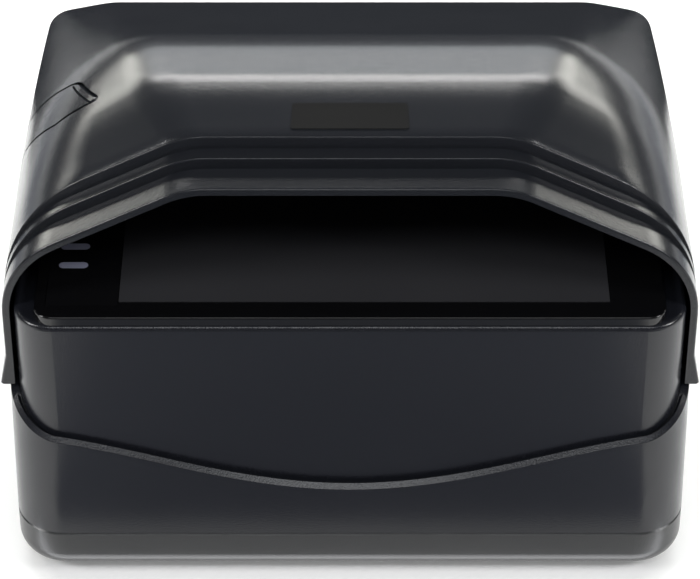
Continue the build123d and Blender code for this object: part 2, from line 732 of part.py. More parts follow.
def case_screws():
    """Four long screws from under the tray into the housing's posts."""
    seat = PARTING - CASE_SCREW_SEAT_DROP
    length = CASE_SCREW_LENGTH
    return [
        headed_screw(x, y, seat, CASE_SCREW_RADIUS, length, CASE_SCREW_HEAD, CASE_SCREW_HEAD_HEIGHT)
        for x, y in case_posts()
    ]


def light_box_screws():
    """Four screws up through the light box's ears."""
    seat = CEILING - BOX_EAR_THICKNESS
    length = BOX_EAR_THICKNESS + HOUSING_WALL - SHELL_FIT
    return [
        headed_screw(x, y, seat, BOX_SCREW_RADIUS, length, BOX_SCREW_HEAD, BOX_SCREW_HEAD_HEIGHT)
        for x, y in box_ears()
    ]


def lamp_row(along_x, near, far, start, end, count, low, high, thickness):
    """Row of equal flat lamps on the face of an upright board."""
    half = LAMP_SIZE / 2
    step = (end - start) / count
    middle = (low + high) / 2
    lamps = []
    for number in range(count):
        place = start + step * (number + 0.5)
        if along_x:
            lamps.append(block(place - half, place + half, near, far, middle - half, middle + half))
        else:
            lamps.append(block(near, far, place - half, place + half, middle - half, middle + half))
    return lamps


def lamp_levels():
    """Lower and upper edges of the lamp boards."""
    high = CEILING - LAMP_BOARD_DROP
    return high - LAMP_BOARD_HEIGHT, high


def white_light_boards():
    """White and infrared lamp boards on the left and right walls of the light box."""
    left, right, front, back = box_span()
    low, high = lamp_levels()
    start, end = front + BOX_WALL + LAMP_BOARD_END_GAP, back - BOX_WALL - LAMP_BOARD_END_GAP
    inner_left, inner_right = left + BOX_WALL, right - BOX_WALL
    return [
        block(inner_left, inner_left + BOARD, start, end, low, high),
        block(inner_right - BOARD, inner_right, start, end, low, high),
    ]


def white_lamps():
    """Lamps on the left and right boards."""
    left, right, front, back = box_span()
    low, high = lamp_levels()
    start, end = front + BOX_WALL + LAMP_BOARD_END_GAP, back - BOX_WALL - LAMP_BOARD_END_GAP
    face = BOX_WALL + BOARD
    rise = LAMP_THICKNESS
    near, far = left + face, left + face + rise
    lamps = lamp_row(False, near, far, start, end, WHITE_LAMP_COUNT, low, high, rise)
    near, far = right - face - rise, right - face
    return lamps + lamp_row(False, near, far, start, end, WHITE_LAMP_COUNT, low, high, rise)


def light_diffusers():
    """Frosted bars in front of the white lamps, each on two feet on its board."""
    left, right, front, back = box_span()
    low, high = lamp_levels()
    start, end = front + BOX_WALL + LAMP_BOARD_END_GAP, back - BOX_WALL - LAMP_BOARD_END_GAP
    near = left + BOX_WALL + BOARD
    stand = LAMP_THICKNESS + DIFFUSER_GAP
    bar = block(near + stand, near + stand + DIFFUSER_THICKNESS, start, end, low, high)
    for foot in (low, high - DIFFUSER_FOOT):
        bar += block(near, near + stand, start, end, foot, foot + DIFFUSER_FOOT)
    other = mirror(bar, about=Plane.YZ.offset((left + right) / 2))
    return [bar, other]


def uv_light_boards():
    """Ultraviolet lamp boards on the front and back walls of the light box."""
    left, right, front, back = box_span()
    low, high = lamp_levels()
    start, end = left + BOX_WALL + 2 * LAMP_BOARD_END_GAP, right - BOX_WALL - 2 * LAMP_BOARD_END_GAP
    inner_front, inner_back = front + BOX_WALL, back - BOX_WALL
    return [
        block(start, end, inner_front, inner_front + BOARD, low, high),
        block(start, end, inner_back - BOARD, inner_back, low, high),
    ]


def uv_lamps():
    """Lamps on the front and back boards."""
    left, right, front, back = box_span()
    low, high = lamp_levels()
    start, end = left + BOX_WALL + 2 * LAMP_BOARD_END_GAP, right - BOX_WALL - 2 * LAMP_BOARD_END_GAP
    face = BOX_WALL + BOARD
    rise = LAMP_THICKNESS
    near, far = front + face, front + face + rise
    lamps = lamp_row(True, near, far, start, end, UV_LAMP_COUNT, low, high, rise)
    near, far = back - face - rise, back - face
    return lamps + lamp_row(True, near, far, start, end, UV_LAMP_COUNT, low, high, rise)


def lens_axis():
    """Plan place of the camera's optical axis, under the middle of the glass."""
    return (GLASS_LEFT + GLASS_RIGHT) / 2, (GLASS_FRONT + GLASS_BACK) / 2


def camera_posts():
    """Places of the posts under the light box that hold the camera board."""
    x, y = lens_axis()
    reach = CAMERA_BOARD_SIZE / 2 - CAMERA_POST_RADIUS - POST_MARGIN
    return [(x + dx * reach, y + dy * reach) for dx in (-1, 1) for dy in (-1, 1)]


def camera_top():
    """Height of the camera board's upper face."""
    return DECK_TOP - BOX_FLOOR_DROP - BOX_FLOOR - CAMERA_STANDOFF


def camera_board():
    """Square board that carries the image sensor."""
    x, y = lens_axis()
    half = CAMERA_BOARD_SIZE / 2
    board = block(x - half, x + half, y - half, y + half, camera_top() - BOARD, camera_top())
    for px, py in camera_posts():
        board -= rod_z(CAMERA_SCREW_RADIUS + SCREW_GAP, 0, FAR, px, py)
    return board


def camera_screws():
    """Four small screws that hold the camera board to its posts."""
    seat = camera_top() - BOARD
    length = BOARD + CAMERA_STANDOFF - SHELL_FIT
    return [
        headed_screw(x, y, seat, CAMERA_SCREW_RADIUS, length, CAMERA_SCREW_HEAD, CAMERA_SCREW_HEAD_HEIGHT)
        for x, y in camera_posts()
    ]


def image_sensor():
    """Square image sensor under the lens."""
    x, y = lens_axis()
    half = SENSOR_SIZE / 2
    return block(x - half, x + half, y - half, y + half, camera_top(), camera_top() + SENSOR_THICKNESS)


def lens_holder():
    """Square mount with a round neck that the lens screws into."""
    x, y = lens_axis()
    half = LENS_HOLDER_SIZE / 2
    low = camera_top()
    mid = low + LENS_HOLDER_HEIGHT - LENS_HOLDER_WALL
    top = low + LENS_HOLDER_HEIGHT
    holder = block(x - half, x + half, y - half, y + half, low, mid + LENS_HOLDER_WALL - SHELL_FIT)
    holder += rod_z(LENS_NECK_RADIUS, mid, top + LENS_NECK_HEIGHT, x, y)
    inner = half - LENS_HOLDER_WALL
    holder -= block(x - inner, x + inner, y - inner, y + inner, low, mid - LENS_HOLDER_WALL / 2)
    holder -= rod_z(LENS_RADIUS + LENS_FIT, low, FAR, x, y)
    return holder


def lens_barrel():
    """Threaded lens tube with a wider rim that seats on the holder's neck."""
    x, y = lens_axis()
    seat = camera_top() + LENS_HOLDER_HEIGHT + LENS_NECK_HEIGHT
    low = seat + LENS_CAP_HEIGHT - LENS_BARREL_HEIGHT
    barrel = rod_z(LENS_RADIUS, low, seat + LENS_CAP_HEIGHT, x, y)
    barrel += rod_z(LENS_CAP_RADIUS, seat, seat + LENS_CAP_HEIGHT, x, y)
    barrel -= rod_z(LENS_BORE, 0, FAR, x, y)
    barrel -= rod_z(FRONT_LENS_RADIUS + LENS_FIT, seat + LENS_CAP_HEIGHT - LENS_SEAT, FAR, x, y)
    return barrel


def front_lens():
    """Domed front element in the lens tube's mouth."""
    x, y = lens_axis()
    low = camera_top() + LENS_HOLDER_HEIGHT + LENS_NECK_HEIGHT + LENS_CAP_HEIGHT - LENS_SEAT
    sphere_radius = (FRONT_LENS_RADIUS ** 2 + FRONT_LENS_DOME ** 2) / (2 * FRONT_LENS_DOME)
    centre = low + FRONT_LENS_EDGE + FRONT_LENS_DOME - sphere_radius
    body = rod_z(FRONT_LENS_RADIUS, low, low + FRONT_LENS_EDGE + FRONT_LENS_DOME, x, y)
    return body & (Pos(x, y, centre) * Sphere(sphere_radius))


def antenna_board():
    """Flat loop board for contactless chips, round the light box under the top plate."""
    left, right, front, back = box_span()
    gap = ANTENNA_GAP
    side = ANTENNA_WIDTH
    low, high = CEILING - BOARD, CEILING
    loop = block(
        left - gap - side, right + gap + side, front - gap - ANTENNA_FRONT_WIDTH, back + gap + side, low, high
    )
    half = BOX_EAR / 2 + gap
    ears = box_ears()
    for x, y in ears:
        loop += block(x - half - side, x + half + side, y - half - side, y + half + side, low, high)
    for x, y in ears:
        loop -= block(x - half, x + half, y - half, y + half, 0, FAR)
    return loop - block(left - gap, right + gap, front - gap, back + gap, 0, FAR)


def main_board():
    """Main circuit board on its four posts."""
    back = HOUSING_BACK - HOUSING_WALL - MAIN_BOARD_BACK_GAP
    half = MAIN_BOARD_HALF
    board = block(-half, half, back - MAIN_BOARD_LENGTH, back, MAIN_BOARD_TOP - BOARD, MAIN_BOARD_TOP)
    for x, y in board_posts():
        board -= rod_z(MAIN_SCREW_RADIUS + SCREW_GAP, 0, FAR, x, y)
    return board


def main_board_screws():
    """Four screws down through the main board."""
    return [
        headed_screw(
            x, y, MAIN_BOARD_TOP, MAIN_SCREW_RADIUS, MAIN_SCREW_LENGTH, MAIN_SCREW_HEAD,
            MAIN_SCREW_HEAD_HEIGHT, up=False,
        )
        for x, y in board_posts()
    ]


def processor_place():
    """Plan place of the processor, in the right half of the main board."""
    return PROCESSOR_X, BACK - PROCESSOR_FROM_BACK


def processor():
    """Processor package on the main board."""
    x, y = processor_place()
    half = CHIP_SIZE / 2
    return block(x - half, x + half, y - half, y + half, MAIN_BOARD_TOP, MAIN_BOARD_TOP + CHIP_THICKNESS)


def heat_sink():
    """Finned heat sink on the processor."""
    x, y = processor_place()
    half = SINK_SIZE / 2
    low = MAIN_BOARD_TOP + CHIP_THICKNESS
    sink = block(x - half, x + half, y - half, y + half, low, low + SINK_BASE)
    pitch = SINK_SIZE / SINK_FINS
    fin = pitch * SINK_FIN_SHARE
    for number in range(SINK_FINS):
        start = x - half + number * (SINK_SIZE - fin) / (SINK_FINS - 1)
        sink += block(start, start + fin, y - half, y + half, low, low + SINK_HEIGHT)
    return sink


def board_components():
    """Chips and round capacitors on the main board."""
    x, y = processor_place()
    top = MAIN_BOARD_TOP
    half = SMALL_CHIP_SIZE / 2
    pitch = SMALL_CHIP_PITCH
    parts = []
    for cx, cy in ((x, y + pitch), (x - pitch, y), (x - pitch, y + pitch)):
        parts.append(block(cx - half, cx + half, cy - half, cy + half, top, top + SMALL_CHIP_THICKNESS))
    for number in range(CAPACITOR_COUNT):
        cx = JACK_X + number * CAPACITOR_PITCH
        parts.append(rod_z(CAPACITOR_RADIUS, top, top + CAPACITOR_HEIGHT, cx, BACK - CAPACITOR_FROM_BACK))
    return parts


def usb_socket():
    """Square device socket with its tongue."""
    face = BACK - CONNECTOR_PROUD
    half = USB_WIDTH / 2
    low, high = MAIN_BOARD_TOP, MAIN_BOARD_TOP + USB_HEIGHT
    body = block(USB_X - half, USB_X + half, face - USB_LENGTH, face, low, high)
    top_edges = body.edges().filter_by(Axis.Y).group_by(Axis.Z)[-1]
    body = chamfer(top_edges, USB_CHAMFER)
    wall = USB_SHELL
    hollow = block(USB_X - half + wall, USB_X + half - wall, face - USB_DEPTH, face, low + wall, high - wall)
    top_edges = hollow.edges().filter_by(Axis.Y).group_by(Axis.Z)[-1]
    hollow = chamfer(top_edges, USB_CHAMFER)
    tongue_half = USB_TONGUE_WIDTH / 2
    middle = (low + high) / 2
    rise = USB_TONGUE_HEIGHT / 2
    hollow -= block(
        USB_X - tongue_half, USB_X + tongue_half, face - USB_DEPTH, face - wall, middle - rise, middle + rise
    )
    return body - hollow


def power_jack():
    """Round power inlet with its centre pin."""
    face = BACK - CONNECTOR_PROUD
    half = JACK_WIDTH / 2
    low = MAIN_BOARD_TOP
    middle = low + JACK_HEIGHT / 2
    body = block(JACK_X - half, JACK_X + half, face - JACK_LENGTH, face, low, low + JACK_HEIGHT)
    bore = rod_y(JACK_BORE, face - JACK_DEPTH, face, JACK_X, middle)
    bore -= rod_y(JACK_PIN, face - JACK_DEPTH, face - JACK_PIN, JACK_X, middle)
    return body - bore


def switch_face():
    """Outer face of the power switch's frame, just inside the base's back face."""
    return BACK - CONNECTOR_PROUD


def switch_frame():
    """Snap-in frame of the power switch."""
    face = switch_face()
    z = PARTING + SWITCH_RISE
    flange_x, flange_z = SWITCH_FRAME_WIDTH / 2, SWITCH_FRAME_HEIGHT / 2
    body_x, body_z = SWITCH_BODY_WIDTH / 2, SWITCH_BODY_HEIGHT / 2
    frame = block(
        SWITCH_X - flange_x, SWITCH_X + flange_x, face - SWITCH_FRAME_FLANGE, face, z - flange_z, z + flange_z
    )
    frame += block(
        SWITCH_X - body_x, SWITCH_X + body_x, face - SWITCH_BODY_DEPTH, face - SWITCH_FRAME_FLANGE,
        z - body_z, z + body_z,
    )
    wall = SWITCH_WALL
    frame -= block(
        SWITCH_X - body_x + wall, SWITCH_X + body_x - wall, face - SWITCH_POCKET, FAR,
        z - body_z + wall, z + body_z - wall,
    )
    frame -= rod_z(
        ROCKER_PIVOT_RADIUS + PIN_RUNNING_GAP, z - body_z + wall - ROCKER_PIVOT_SEAT,
        z + body_z - wall + ROCKER_PIVOT_SEAT,
        SWITCH_X, face - ROCKER_AXIS_DEPTH,
    )
    return frame


def power_rocker():
    """Rocker paddle, drawn in its off position."""
    face = switch_face()
    z = PARTING + SWITCH_RISE
    half_x = SWITCH_BODY_WIDTH / 2 - SWITCH_WALL - SWITCH_GAP
    half_z = SWITCH_BODY_HEIGHT / 2 - SWITCH_WALL - SWITCH_GAP
    tip = half_x * cos(radians(ROCKER_HALF_TILT)) - SWITCH_GAP
    flank = tip * ROCKER_FLANK_SHARE
    keel = tip * ROCKER_KEEL_SHARE
    outline = Polyline(
        (-tip, ROCKER_PEAK - SWITCH_GAP), (0, ROCKER_VALLEY), (tip, ROCKER_PEAK - SWITCH_GAP),
        (flank, ROCKER_FLANK), (keel, -ROCKER_KEEL), (-keel, -ROCKER_KEEL), (-flank, ROCKER_FLANK),
        close=True,
    )
    paddle = extrude(make_face(outline), half_z, both=True)
    pivot_half = SWITCH_BODY_HEIGHT / 2 - SWITCH_WALL + ROCKER_PIVOT_SEAT - SHELL_FIT
    paddle += Cylinder(ROCKER_PIVOT_RADIUS, 2 * pivot_half)
    return Pos(SWITCH_X, face - ROCKER_AXIS_DEPTH, z) * Rot(0, 0, -ROCKER_HALF_TILT) * paddle


def flex_socket(x, y, z, up):
    """Low connector that the flexible cable enters along Y."""
    half = FLEX_WIDTH / 2 + FLEX_SOCKET_MARGIN
    low, high = (z, z + FLEX_SOCKET_HEIGHT) if up else (z - FLEX_SOCKET_HEIGHT, z)
    return block(x - half, x + half, y - FLEX_SOCKET_DEPTH, y, low, high)


def flex_ends():
    """Where the flexible cable starts at the camera board and ends at the main board."""
    x, y = lens_axis()
    start = (y + CAMERA_BOARD_SIZE / 2 - FLEX_SOCKET_DEPTH, camera_top() - BOARD - FLEX_SOCKET_HEIGHT / 2)
    end = (BACK - FLEX_FROM_BACK, MAIN_BOARD_TOP + FLEX_SOCKET_HEIGHT / 2)
    return x, start, end


def board_connectors():
    """Flat cable connectors on the camera board and on the main board."""
    x, start, end = flex_ends()
    first = flex_socket(x, start[0], camera_top() - BOARD, up=False)
    second = flex_socket(x, end[0] + FLEX_SOCKET_DEPTH, MAIN_BOARD_TOP, up=True)
    return [first, second]


def camera_flex():
    """Flat cable from the camera board back and down to the main board."""
    x, (y0, z0), (y1, z1) = flex_ends()
    middle = (y0 + y1) / 2
    path = FilletPolyline((y0, z0), (middle, z0), (middle, z1), (y1, z1), radius=FLEX_BEND)
    strip = trace(path, FLEX_THICKNESS)
    return extrude(Plane.YZ.offset(x - FLEX_WIDTH / 2) * strip, FLEX_WIDTH)


def bracket_screws():
    """Places of the two screws in each hinge bracket, as X and Z."""
    reach = BRACKET_PLATE_WIDTH / 2 - BOX_SCREW_HEAD - POST_MARGIN
    x = HINGE_X
    return [(side * x + dx * reach, AXIS_Z + BRACKET_PLATE / 2) for side in (-1, 1) for dx in (-1, 1)]


def hinge_brackets():
    """Two cast brackets on the front wall of the trough, each with one arm to the pin."""
    brackets = []
    for side in (-1, 1):
        x = side * HINGE_X
        half = BRACKET_PLATE_WIDTH / 2
        rise = BRACKET_PLATE_HEIGHT / 2
        z_mid = AXIS_Z + BRACKET_PLATE / 2
        back = TROUGH_FRONT + BRACKET_PLATE
        body = block(x - half, x + half, TROUGH_FRONT, back, z_mid - rise, z_mid + rise)
        arm = BRACKET_ARM / 2
        body += block(x - arm, x + arm, TROUGH_FRONT, AXIS_Y, AXIS_Z - arm, AXIS_Z + arm)
        body += rod_x(BRACKET_HUB_RADIUS, x - arm, x + arm, AXIS_Y, AXIS_Z)
        body -= rod_x(PIN_RADIUS + PIN_TIGHT_GAP, -FAR, FAR, AXIS_Y, AXIS_Z)
        for screw_x, screw_z in bracket_screws():
            body -= rod_y(BOX_SCREW_RADIUS + SCREW_GAP, 0, FAR, screw_x, screw_z)
        brackets.append(body & trough())
    return brackets


def hinge_screws():
    """Four screws that hold the hinge brackets to the housing."""
    seat = TROUGH_FRONT + BRACKET_PLATE
    screws = []
    for x, z in bracket_screws():
        screw = rod_y(BOX_SCREW_RADIUS, TROUGH_FRONT - HOUSING_WALL, seat, x, z)
        screw += rod_y(BOX_SCREW_HEAD, seat, seat + HINGE_SCREW_HEAD_HEIGHT, x, z)
        screws.append(screw)
    return screws


def web_spans():
    """X spans of the two hood webs beside the right-hand bracket."""
    x = HINGE_X
    gap = BRACKET_ARM / 2 + WASHER_THICKNESS
    return [(x - gap - WEB_THICKNESS, x - gap), (x + gap, x + gap + WEB_THICKNESS)]


def hinge_washers():
    """Friction washer on each side of each bracket arm."""
    washers = []
    for low, high in web_spans():
        inner = high if high < HINGE_X else low - WASHER_THICKNESS
        washer = rod_x(WASHER_RADIUS, inner, inner + WASHER_THICKNESS, AXIS_Y, AXIS_Z)
        washer -= rod_x(PIN_RADIUS + PIN_TIGHT_GAP, -FAR, FAR, AXIS_Y, AXIS_Z)
        washers += [washer, mirrored(washer)]
    return washers


def hinge_pins():
    """Two steel pins through the webs and the bracket arms, each with grooved ends."""
    spans = web_spans()
    pin = rod_x(PIN_RADIUS, spans[0][0] - PIN_END, spans[1][1] + PIN_END, AXIS_Y, AXIS_Z)
    pin = chamfer(pin.edges(), PIN_CHAMFER)
    return [pin, mirrored(pin)]


def pin_clips():
    """Round clips that keep the hinge pins in place."""
    spans = web_spans()
    clips = []
    for low in (spans[0][0] - SHELL_FIT - CLIP_THICKNESS, spans[1][1] + SHELL_FIT):
        clip = rod_x(CLIP_RADIUS, low, low + CLIP_THICKNESS, AXIS_Y, AXIS_Z)
        clip -= rod_x(PIN_RADIUS + PIN_TIGHT_GAP, -FAR, FAR, AXIS_Y, AXIS_Z)
        clips += [clip, mirrored(clip)]
    return clips


class Station:
    """One cross-section of the hood's skin at a place along Y."""

    def __init__(self, y, crown, shoulder, angle, wall):
        self.y = y
        self.crown = crown
        self.shoulder = shoulder
        self.angle = angle
        self.wall = wall

    def face(self, inset=0.0):
        """Closed section; inset moves it inwards by the skin's thickness."""
        slope = tan(radians(self.angle))
        half = HOOD_HALF - inset
        crown_x = HOOD_HALF - self.shoulder - inset * tan(radians(self.angle / 2))
        crown_z = HOOD_EDGE + self.crown - inset
        wall_z = HOOD_EDGE + self.wall
        side_turn = 90 - self.angle
        side_round = (crown_z - (half - crown_x) * slope - wall_z) / tan(radians(side_turn / 2))
        crown_round = CROWN_ROUND - inset
        lean = crown_round * tan(radians(self.angle / 2))
        side_centre = (half - side_round, wall_z)
        crown_centre = (crown_x - lean, crown_z - crown_round)

        def on(centre, radius, angle):
            return (centre[0] + radius * cos(radians(angle)), centre[1] + radius * sin(radians(angle)))

        shares = (0, 0.5, 1)
        side_points = [on(side_centre, side_round, share * side_turn) for share in shares]
        crown_points = [on(crown_centre, crown_round, side_turn + share * self.angle) for share in shares]
        if inset:
            foot = [(half, HOOD_EDGE - HOOD_FLARE_HEIGHT)]
        else:
            foot = [(half + HOOD_FLARE, HOOD_EDGE), (half, HOOD_EDGE + HOOD_FLARE_HEIGHT)]
        edges = []
        for side in (1, -1):
            right = [(side * x, z) for x, z in foot + side_points[:1]]
            for start, end in zip(right, right[1:]):
                edges.append(Line(start, end))
            edges.append(ThreePointArc(*[(side * x, z) for x, z in side_points]))
            edges.append(Line((side * side_points[2][0], side_points[2][1]),
                              (side * crown_points[0][0], crown_points[0][1])))
            edges.append(ThreePointArc(*[(side * x, z) for x, z in crown_points]))
        edges.append(Line(crown_points[2], (-crown_points[2][0], crown_points[2][1])))
        edges.append(Line(foot[0], (-foot[0][0], foot[0][1])))
        plane = Plane(origin=(0, self.y, 0), x_dir=(1, 0, 0), z_dir=(0, -1, 0))
        return plane * make_face(edges)


def body_start():
    """Y of the foot of the front slope."""
    return HOOD_RIM + TERRACE_ONE_DEPTH + TERRACE_TWO_DEPTH


def terrace_stations():
    """Pairs of sections for the two terraces above the mouth."""
    slope = tan(radians(TERRACE_SLOPE))
    first_end = RIM_HEIGHT + TERRACE_ONE_DEPTH * slope
    second = first_end + TERRACE_ONE_RISE
    second_end = second + TERRACE_TWO_DEPTH * slope
    y1 = HOOD_RIM + TERRACE_ONE_DEPTH
    rim = (RIM_SHOULDER, RIM_ANGLE, RIM_WALL_HEIGHT)
    terrace = (RIM_SHOULDER, RIM_ANGLE, TERRACE_WALL_HEIGHT)
    pairs = [
        (Station(HOOD_RIM, RIM_HEIGHT, *rim), Station(y1, first_end, *rim)),
        (Station(y1, second, *terrace), Station(body_start(), second_end, *terrace)),
    ]
    return pairs, second_end + TERRACE_TWO_RISE


def plateau_end():
    """Y of the back edge of the flat top, and its height above the hood's edge."""
    return body_start() + CREST_FROM_BODY + PLATEAU_DEPTH, terrace_stations()[1] + CREST_RISE


def tail_angle():
    """Fall of the hood's straight back slope, which runs from the flat top onto the barrel."""
    plateau_y, crown = plateau_end()
    run = AXIS_Y - plateau_y - PLATEAU_BEND_RUN
    drop = HOOD_EDGE + crown - AXIS_Z
    return degrees(atan2(drop, run) - asin(BARREL_RADIUS / hypot(drop, run)))


def tail_point():
    """Where the hood's straight back slope meets its barrel, in Y and Z."""
    return on_axis(BARREL_RADIUS, 90 - tail_angle())


def body_stations():
    """Sections from the foot of the front slope back past the barrel."""
    start_crown = terrace_stations()[1]
    y0 = body_start()
    crest_y = y0 + CREST_FROM_BODY
    plateau_y, crest_crown = plateau_end()
    fall = tail_angle()
    tail_slope = tan(radians(fall))
    tail_y = tail_point()[0]
    bend = PLATEAU_BEND_RUN / tan(radians(fall / 2))
    share = SLOPE_BREAK / CREST_FROM_BODY
    stations = [
        Station(y0, start_crown, BODY_SHOULDER, BODY_ANGLE, BODY_WALL_HEIGHT),
        Station(
            y0 + SLOPE_BREAK, start_crown + SLOPE_BREAK_RISE,
            BODY_SHOULDER + (CREST_SHOULDER - BODY_SHOULDER) * share,
            BODY_ANGLE + (CREST_ANGLE - BODY_ANGLE) * share,
            BODY_WALL_HEIGHT + (CREST_WALL_HEIGHT - BODY_WALL_HEIGHT) * share,
        ),
        Station(crest_y, crest_crown, CREST_SHOULDER, CREST_ANGLE, CREST_WALL_HEIGHT),
    ]
    places = [(plateau_y, crest_crown)]
    for turn in (fall / 3, fall * 2 / 3, fall):
        y = plateau_y + bend * sin(radians(turn))
        places.append((y, crest_crown - bend * (1 - cos(radians(turn)))))
    last_y, last_crown = places[-1]
    for step in range(1, TAIL_STATIONS + 1):
        y = last_y + (tail_y - last_y) * step / TAIL_STATIONS
        places.append((y, last_crown - (y - last_y) * tail_slope))
    past = BACK
    places.append((past, last_crown - (past - last_y) * tail_slope))
    for y, crown in places:
        share = (y - plateau_y) / (tail_y - plateau_y)
        stations.append(Station(
            y, crown,
            PLATEAU_SHOULDER + (TAIL_SHOULDER - PLATEAU_SHOULDER) * share,
            PLATEAU_ANGLE + (TAIL_ANGLE - PLATEAU_ANGLE) * share,
            PLATEAU_WALL_HEIGHT + (TAIL_WALL_HEIGHT - PLATEAU_WALL_HEIGHT) * share ** 2,
        ))
    return stations


def barrel_bound(inset):
    """Side-view limit of the hood's back end: the slope, the barrel and what is under it."""
    radius = BARREL_RADIUS - inset
    tail_turn = 90 - tail_angle()
    top = on_axis(radius, tail_turn)
    reach = BASE_DEPTH
    slope = tan(radians(tail_angle()))
    far_top = (top[0] - reach, top[1] + reach * slope)
    end = on_axis(radius, BARREL_END)
    arc = ThreePointArc(top, on_axis(radius, (tail_turn + BARREL_END) / 2), end)
    if inset:
        out = on_axis(2 * BARREL_RADIUS, BARREL_END)
        rest = [end, out, (out[0], 0), (top[0] - reach, 0), far_top, top]
    else:
        drop = end[1] - HOOD_EDGE
        corner = (end[0] - drop / tan(radians(90 + BARREL_END)), HOOD_EDGE)
        rest = [end, corner, (top[0] - reach, HOOD_EDGE), far_top, top]
    outline = make_face([arc, Polyline(*rest)])
    return extrude(Plane.YZ.offset(-FAR / 2) * outline, FAR)


def hood_outer():
    """Hood as a full block, with its terraces."""
    pairs, _ = terrace_stations()
    solid = loft([station.face() for station in body_stations()], ruled=True)
    for first, second in reversed(pairs):
        solid += loft([first.face(), second.face()], ruled=True)
    return solid & barrel_bound(0.0)


def hood_inner():
    """Space inside the hood."""
    pairs, _ = terrace_stations()
    stations = body_stations()
    first = pairs[0][0]
    start = Station(first.y - HOOD_WALL, first.crown, first.shoulder, first.angle, first.wall)
    sections = [start, pairs[0][1]] + stations[1:]
    solid = loft([station.face(HOOD_WALL) for station in sections], ruled=True)
    return solid & barrel_bound(HOOD_WALL)


def lever_outline(side_gap=0.0, end_gap=0.0):
    """Side-view outline of the release lever's skin, in Y and Z."""
    front = [(HOOD_RIM + y - side_gap, HOOD_EDGE + z) for y, z in LEVER_FRONT_EDGE]
    back = [(HOOD_RIM + y + side_gap, HOOD_EDGE + z) for y, z in LEVER_BACK_EDGE]
    front_lean = (front[1][0] - front[0][0]) / (front[0][1] - front[1][1])
    back_lean = (back[-2][0] - back[-1][0]) / (back[-1][1] - back[-2][1])
    front[0] = (front[0][0] - front_lean * end_gap, front[0][1] + end_gap)
    back[-1] = (back[-1][0] - back_lean * end_gap, back[-1][1] + end_gap)
    front[-1] = (front[-1][0], front[-1][1] - side_gap)
    back[0] = (back[0][0], back[0][1] - side_gap)
    return front + back


def lever_axis():
    """X and Z of the lever's pin."""
    return -HOOD_HALF + LEVER_PIN_INSET, HOOD_EDGE + LEVER_PIN_HEIGHT


def lever_span():
    """Y range of the lever at its pin."""
    low = HOOD_RIM + LEVER_FRONT_EDGE[3][0] + LEVER_HUB_MARGIN
    high = HOOD_RIM + LEVER_BACK_EDGE[2][0] - LEVER_HUB_MARGIN
    return low, high


def ear_spans():
    """Y ranges of the two ears that carry the lever's pin."""
    front = HOOD_RIM + LEVER_FRONT_EDGE[2][0] - LEVER_SIDE_GAP
    back = HOOD_RIM + LEVER_BACK_EDGE[0][0] + LEVER_SIDE_GAP + LEVER_EAR_GAP
    return [(front - LEVER_EAR, front), (back, back + LEVER_EAR)]


def magnet_place():
    """Y and Z of the latch magnet in the lever's lower end."""
    y = HOOD_RIM + (LEVER_FRONT_EDGE[-1][0] + LEVER_BACK_EDGE[0][0]) / 2
    return y, HOOD_EDGE + MAGNET_HEIGHT


def hood_shell(outer, inner):
    """Hood skin with its hinge webs, the lever's ears and the slot round the lever."""
    shell = outer - inner
    slot = side_plate(lever_outline(LEVER_SIDE_GAP, LEVER_END_GAP), -FAR, -HOOD_HALF + LEVER_REACH)
    shell -= slot
    pin_x, pin_z = lever_axis()
    for low, high in ear_spans():
        ear = block(-HOOD_HALF, pin_x, low, high, pin_z - LEVER_HUB_RADIUS, pin_z + LEVER_HUB_RADIUS)
        ear += rod_y(LEVER_HUB_RADIUS, low, high, pin_x, pin_z)
        shell += ear & outer
    spans = ear_spans()
    shell -= rod_y(LEVER_PIN_RADIUS + PIN_TIGHT_GAP, spans[0][0], spans[1][1], pin_x, pin_z)
    shell += hood_webs(outer)
    return shell


def hood_webs(outer):
    """Four plates inside the barrel, each with a hub on the pin."""
    turn = 90 - tail_angle()
    spokes = [on_axis(BARREL_RADIUS, angle) for angle in (BARREL_END, 0, turn)]
    near = on_axis(WEB_HUB_RADIUS, turn + 90)
    far = on_axis(WEB_HUB_RADIUS, BARREL_END - 90)
    crest = on_axis(hypot(BARREL_RADIUS, BARREL_RADIUS), turn + 45)
    corner = on_axis(hypot(BARREL_RADIUS, BARREL_RADIUS), turn / 2)
    webs = None
    for low, high in web_spans():
        web = side_plate([far, spokes[0], corner, spokes[2], crest, near], low, high)
        web &= outer
        web += rod_x(WEB_HUB_RADIUS, low, high, AXIS_Y, AXIS_Z)
        web -= rod_x(PIN_RADIUS + PIN_RUNNING_GAP, -FAR, FAR, AXIS_Y, AXIS_Z)
        webs = web if webs is None else webs + web
        webs += mirrored(web)
    return webs


def release_lever(outer, inner):
    """Lever whose skin is cut from the hood's left shoulder, with a hub inside."""
    skin = (outer - inner) & side_plate(lever_outline(), -FAR, -HOOD_HALF + LEVER_REACH)
    pin_x, pin_z = lever_axis()
    low, high = lever_span()
    hub = block(-HOOD_HALF, pin_x, low, high, pin_z - LEVER_HUB_RADIUS, pin_z + LEVER_HUB_RADIUS)
    hub += rod_y(LEVER_HUB_RADIUS, low, high, pin_x, pin_z)
    lever = skin + (hub & outer)
    lever -= rod_y(LEVER_PIN_RADIUS + PIN_RUNNING_GAP, HOOD_RIM, AXIS_Y, pin_x, pin_z)
    y, z = magnet_place()
    face = -HOUSING_HALF - LATCH_GAP
    lever -= rod_x(MAGNET_RADIUS + SCREW_GAP, face - MAGNET_THICKNESS, 0, y, z)
    return lever


def lever_pin():
    """Steel pin of the release lever, from ear to ear."""
    spans = ear_spans()
    x, z = lever_axis()
    return rod_y(LEVER_PIN_RADIUS, spans[0][0], spans[1][1], x, z)


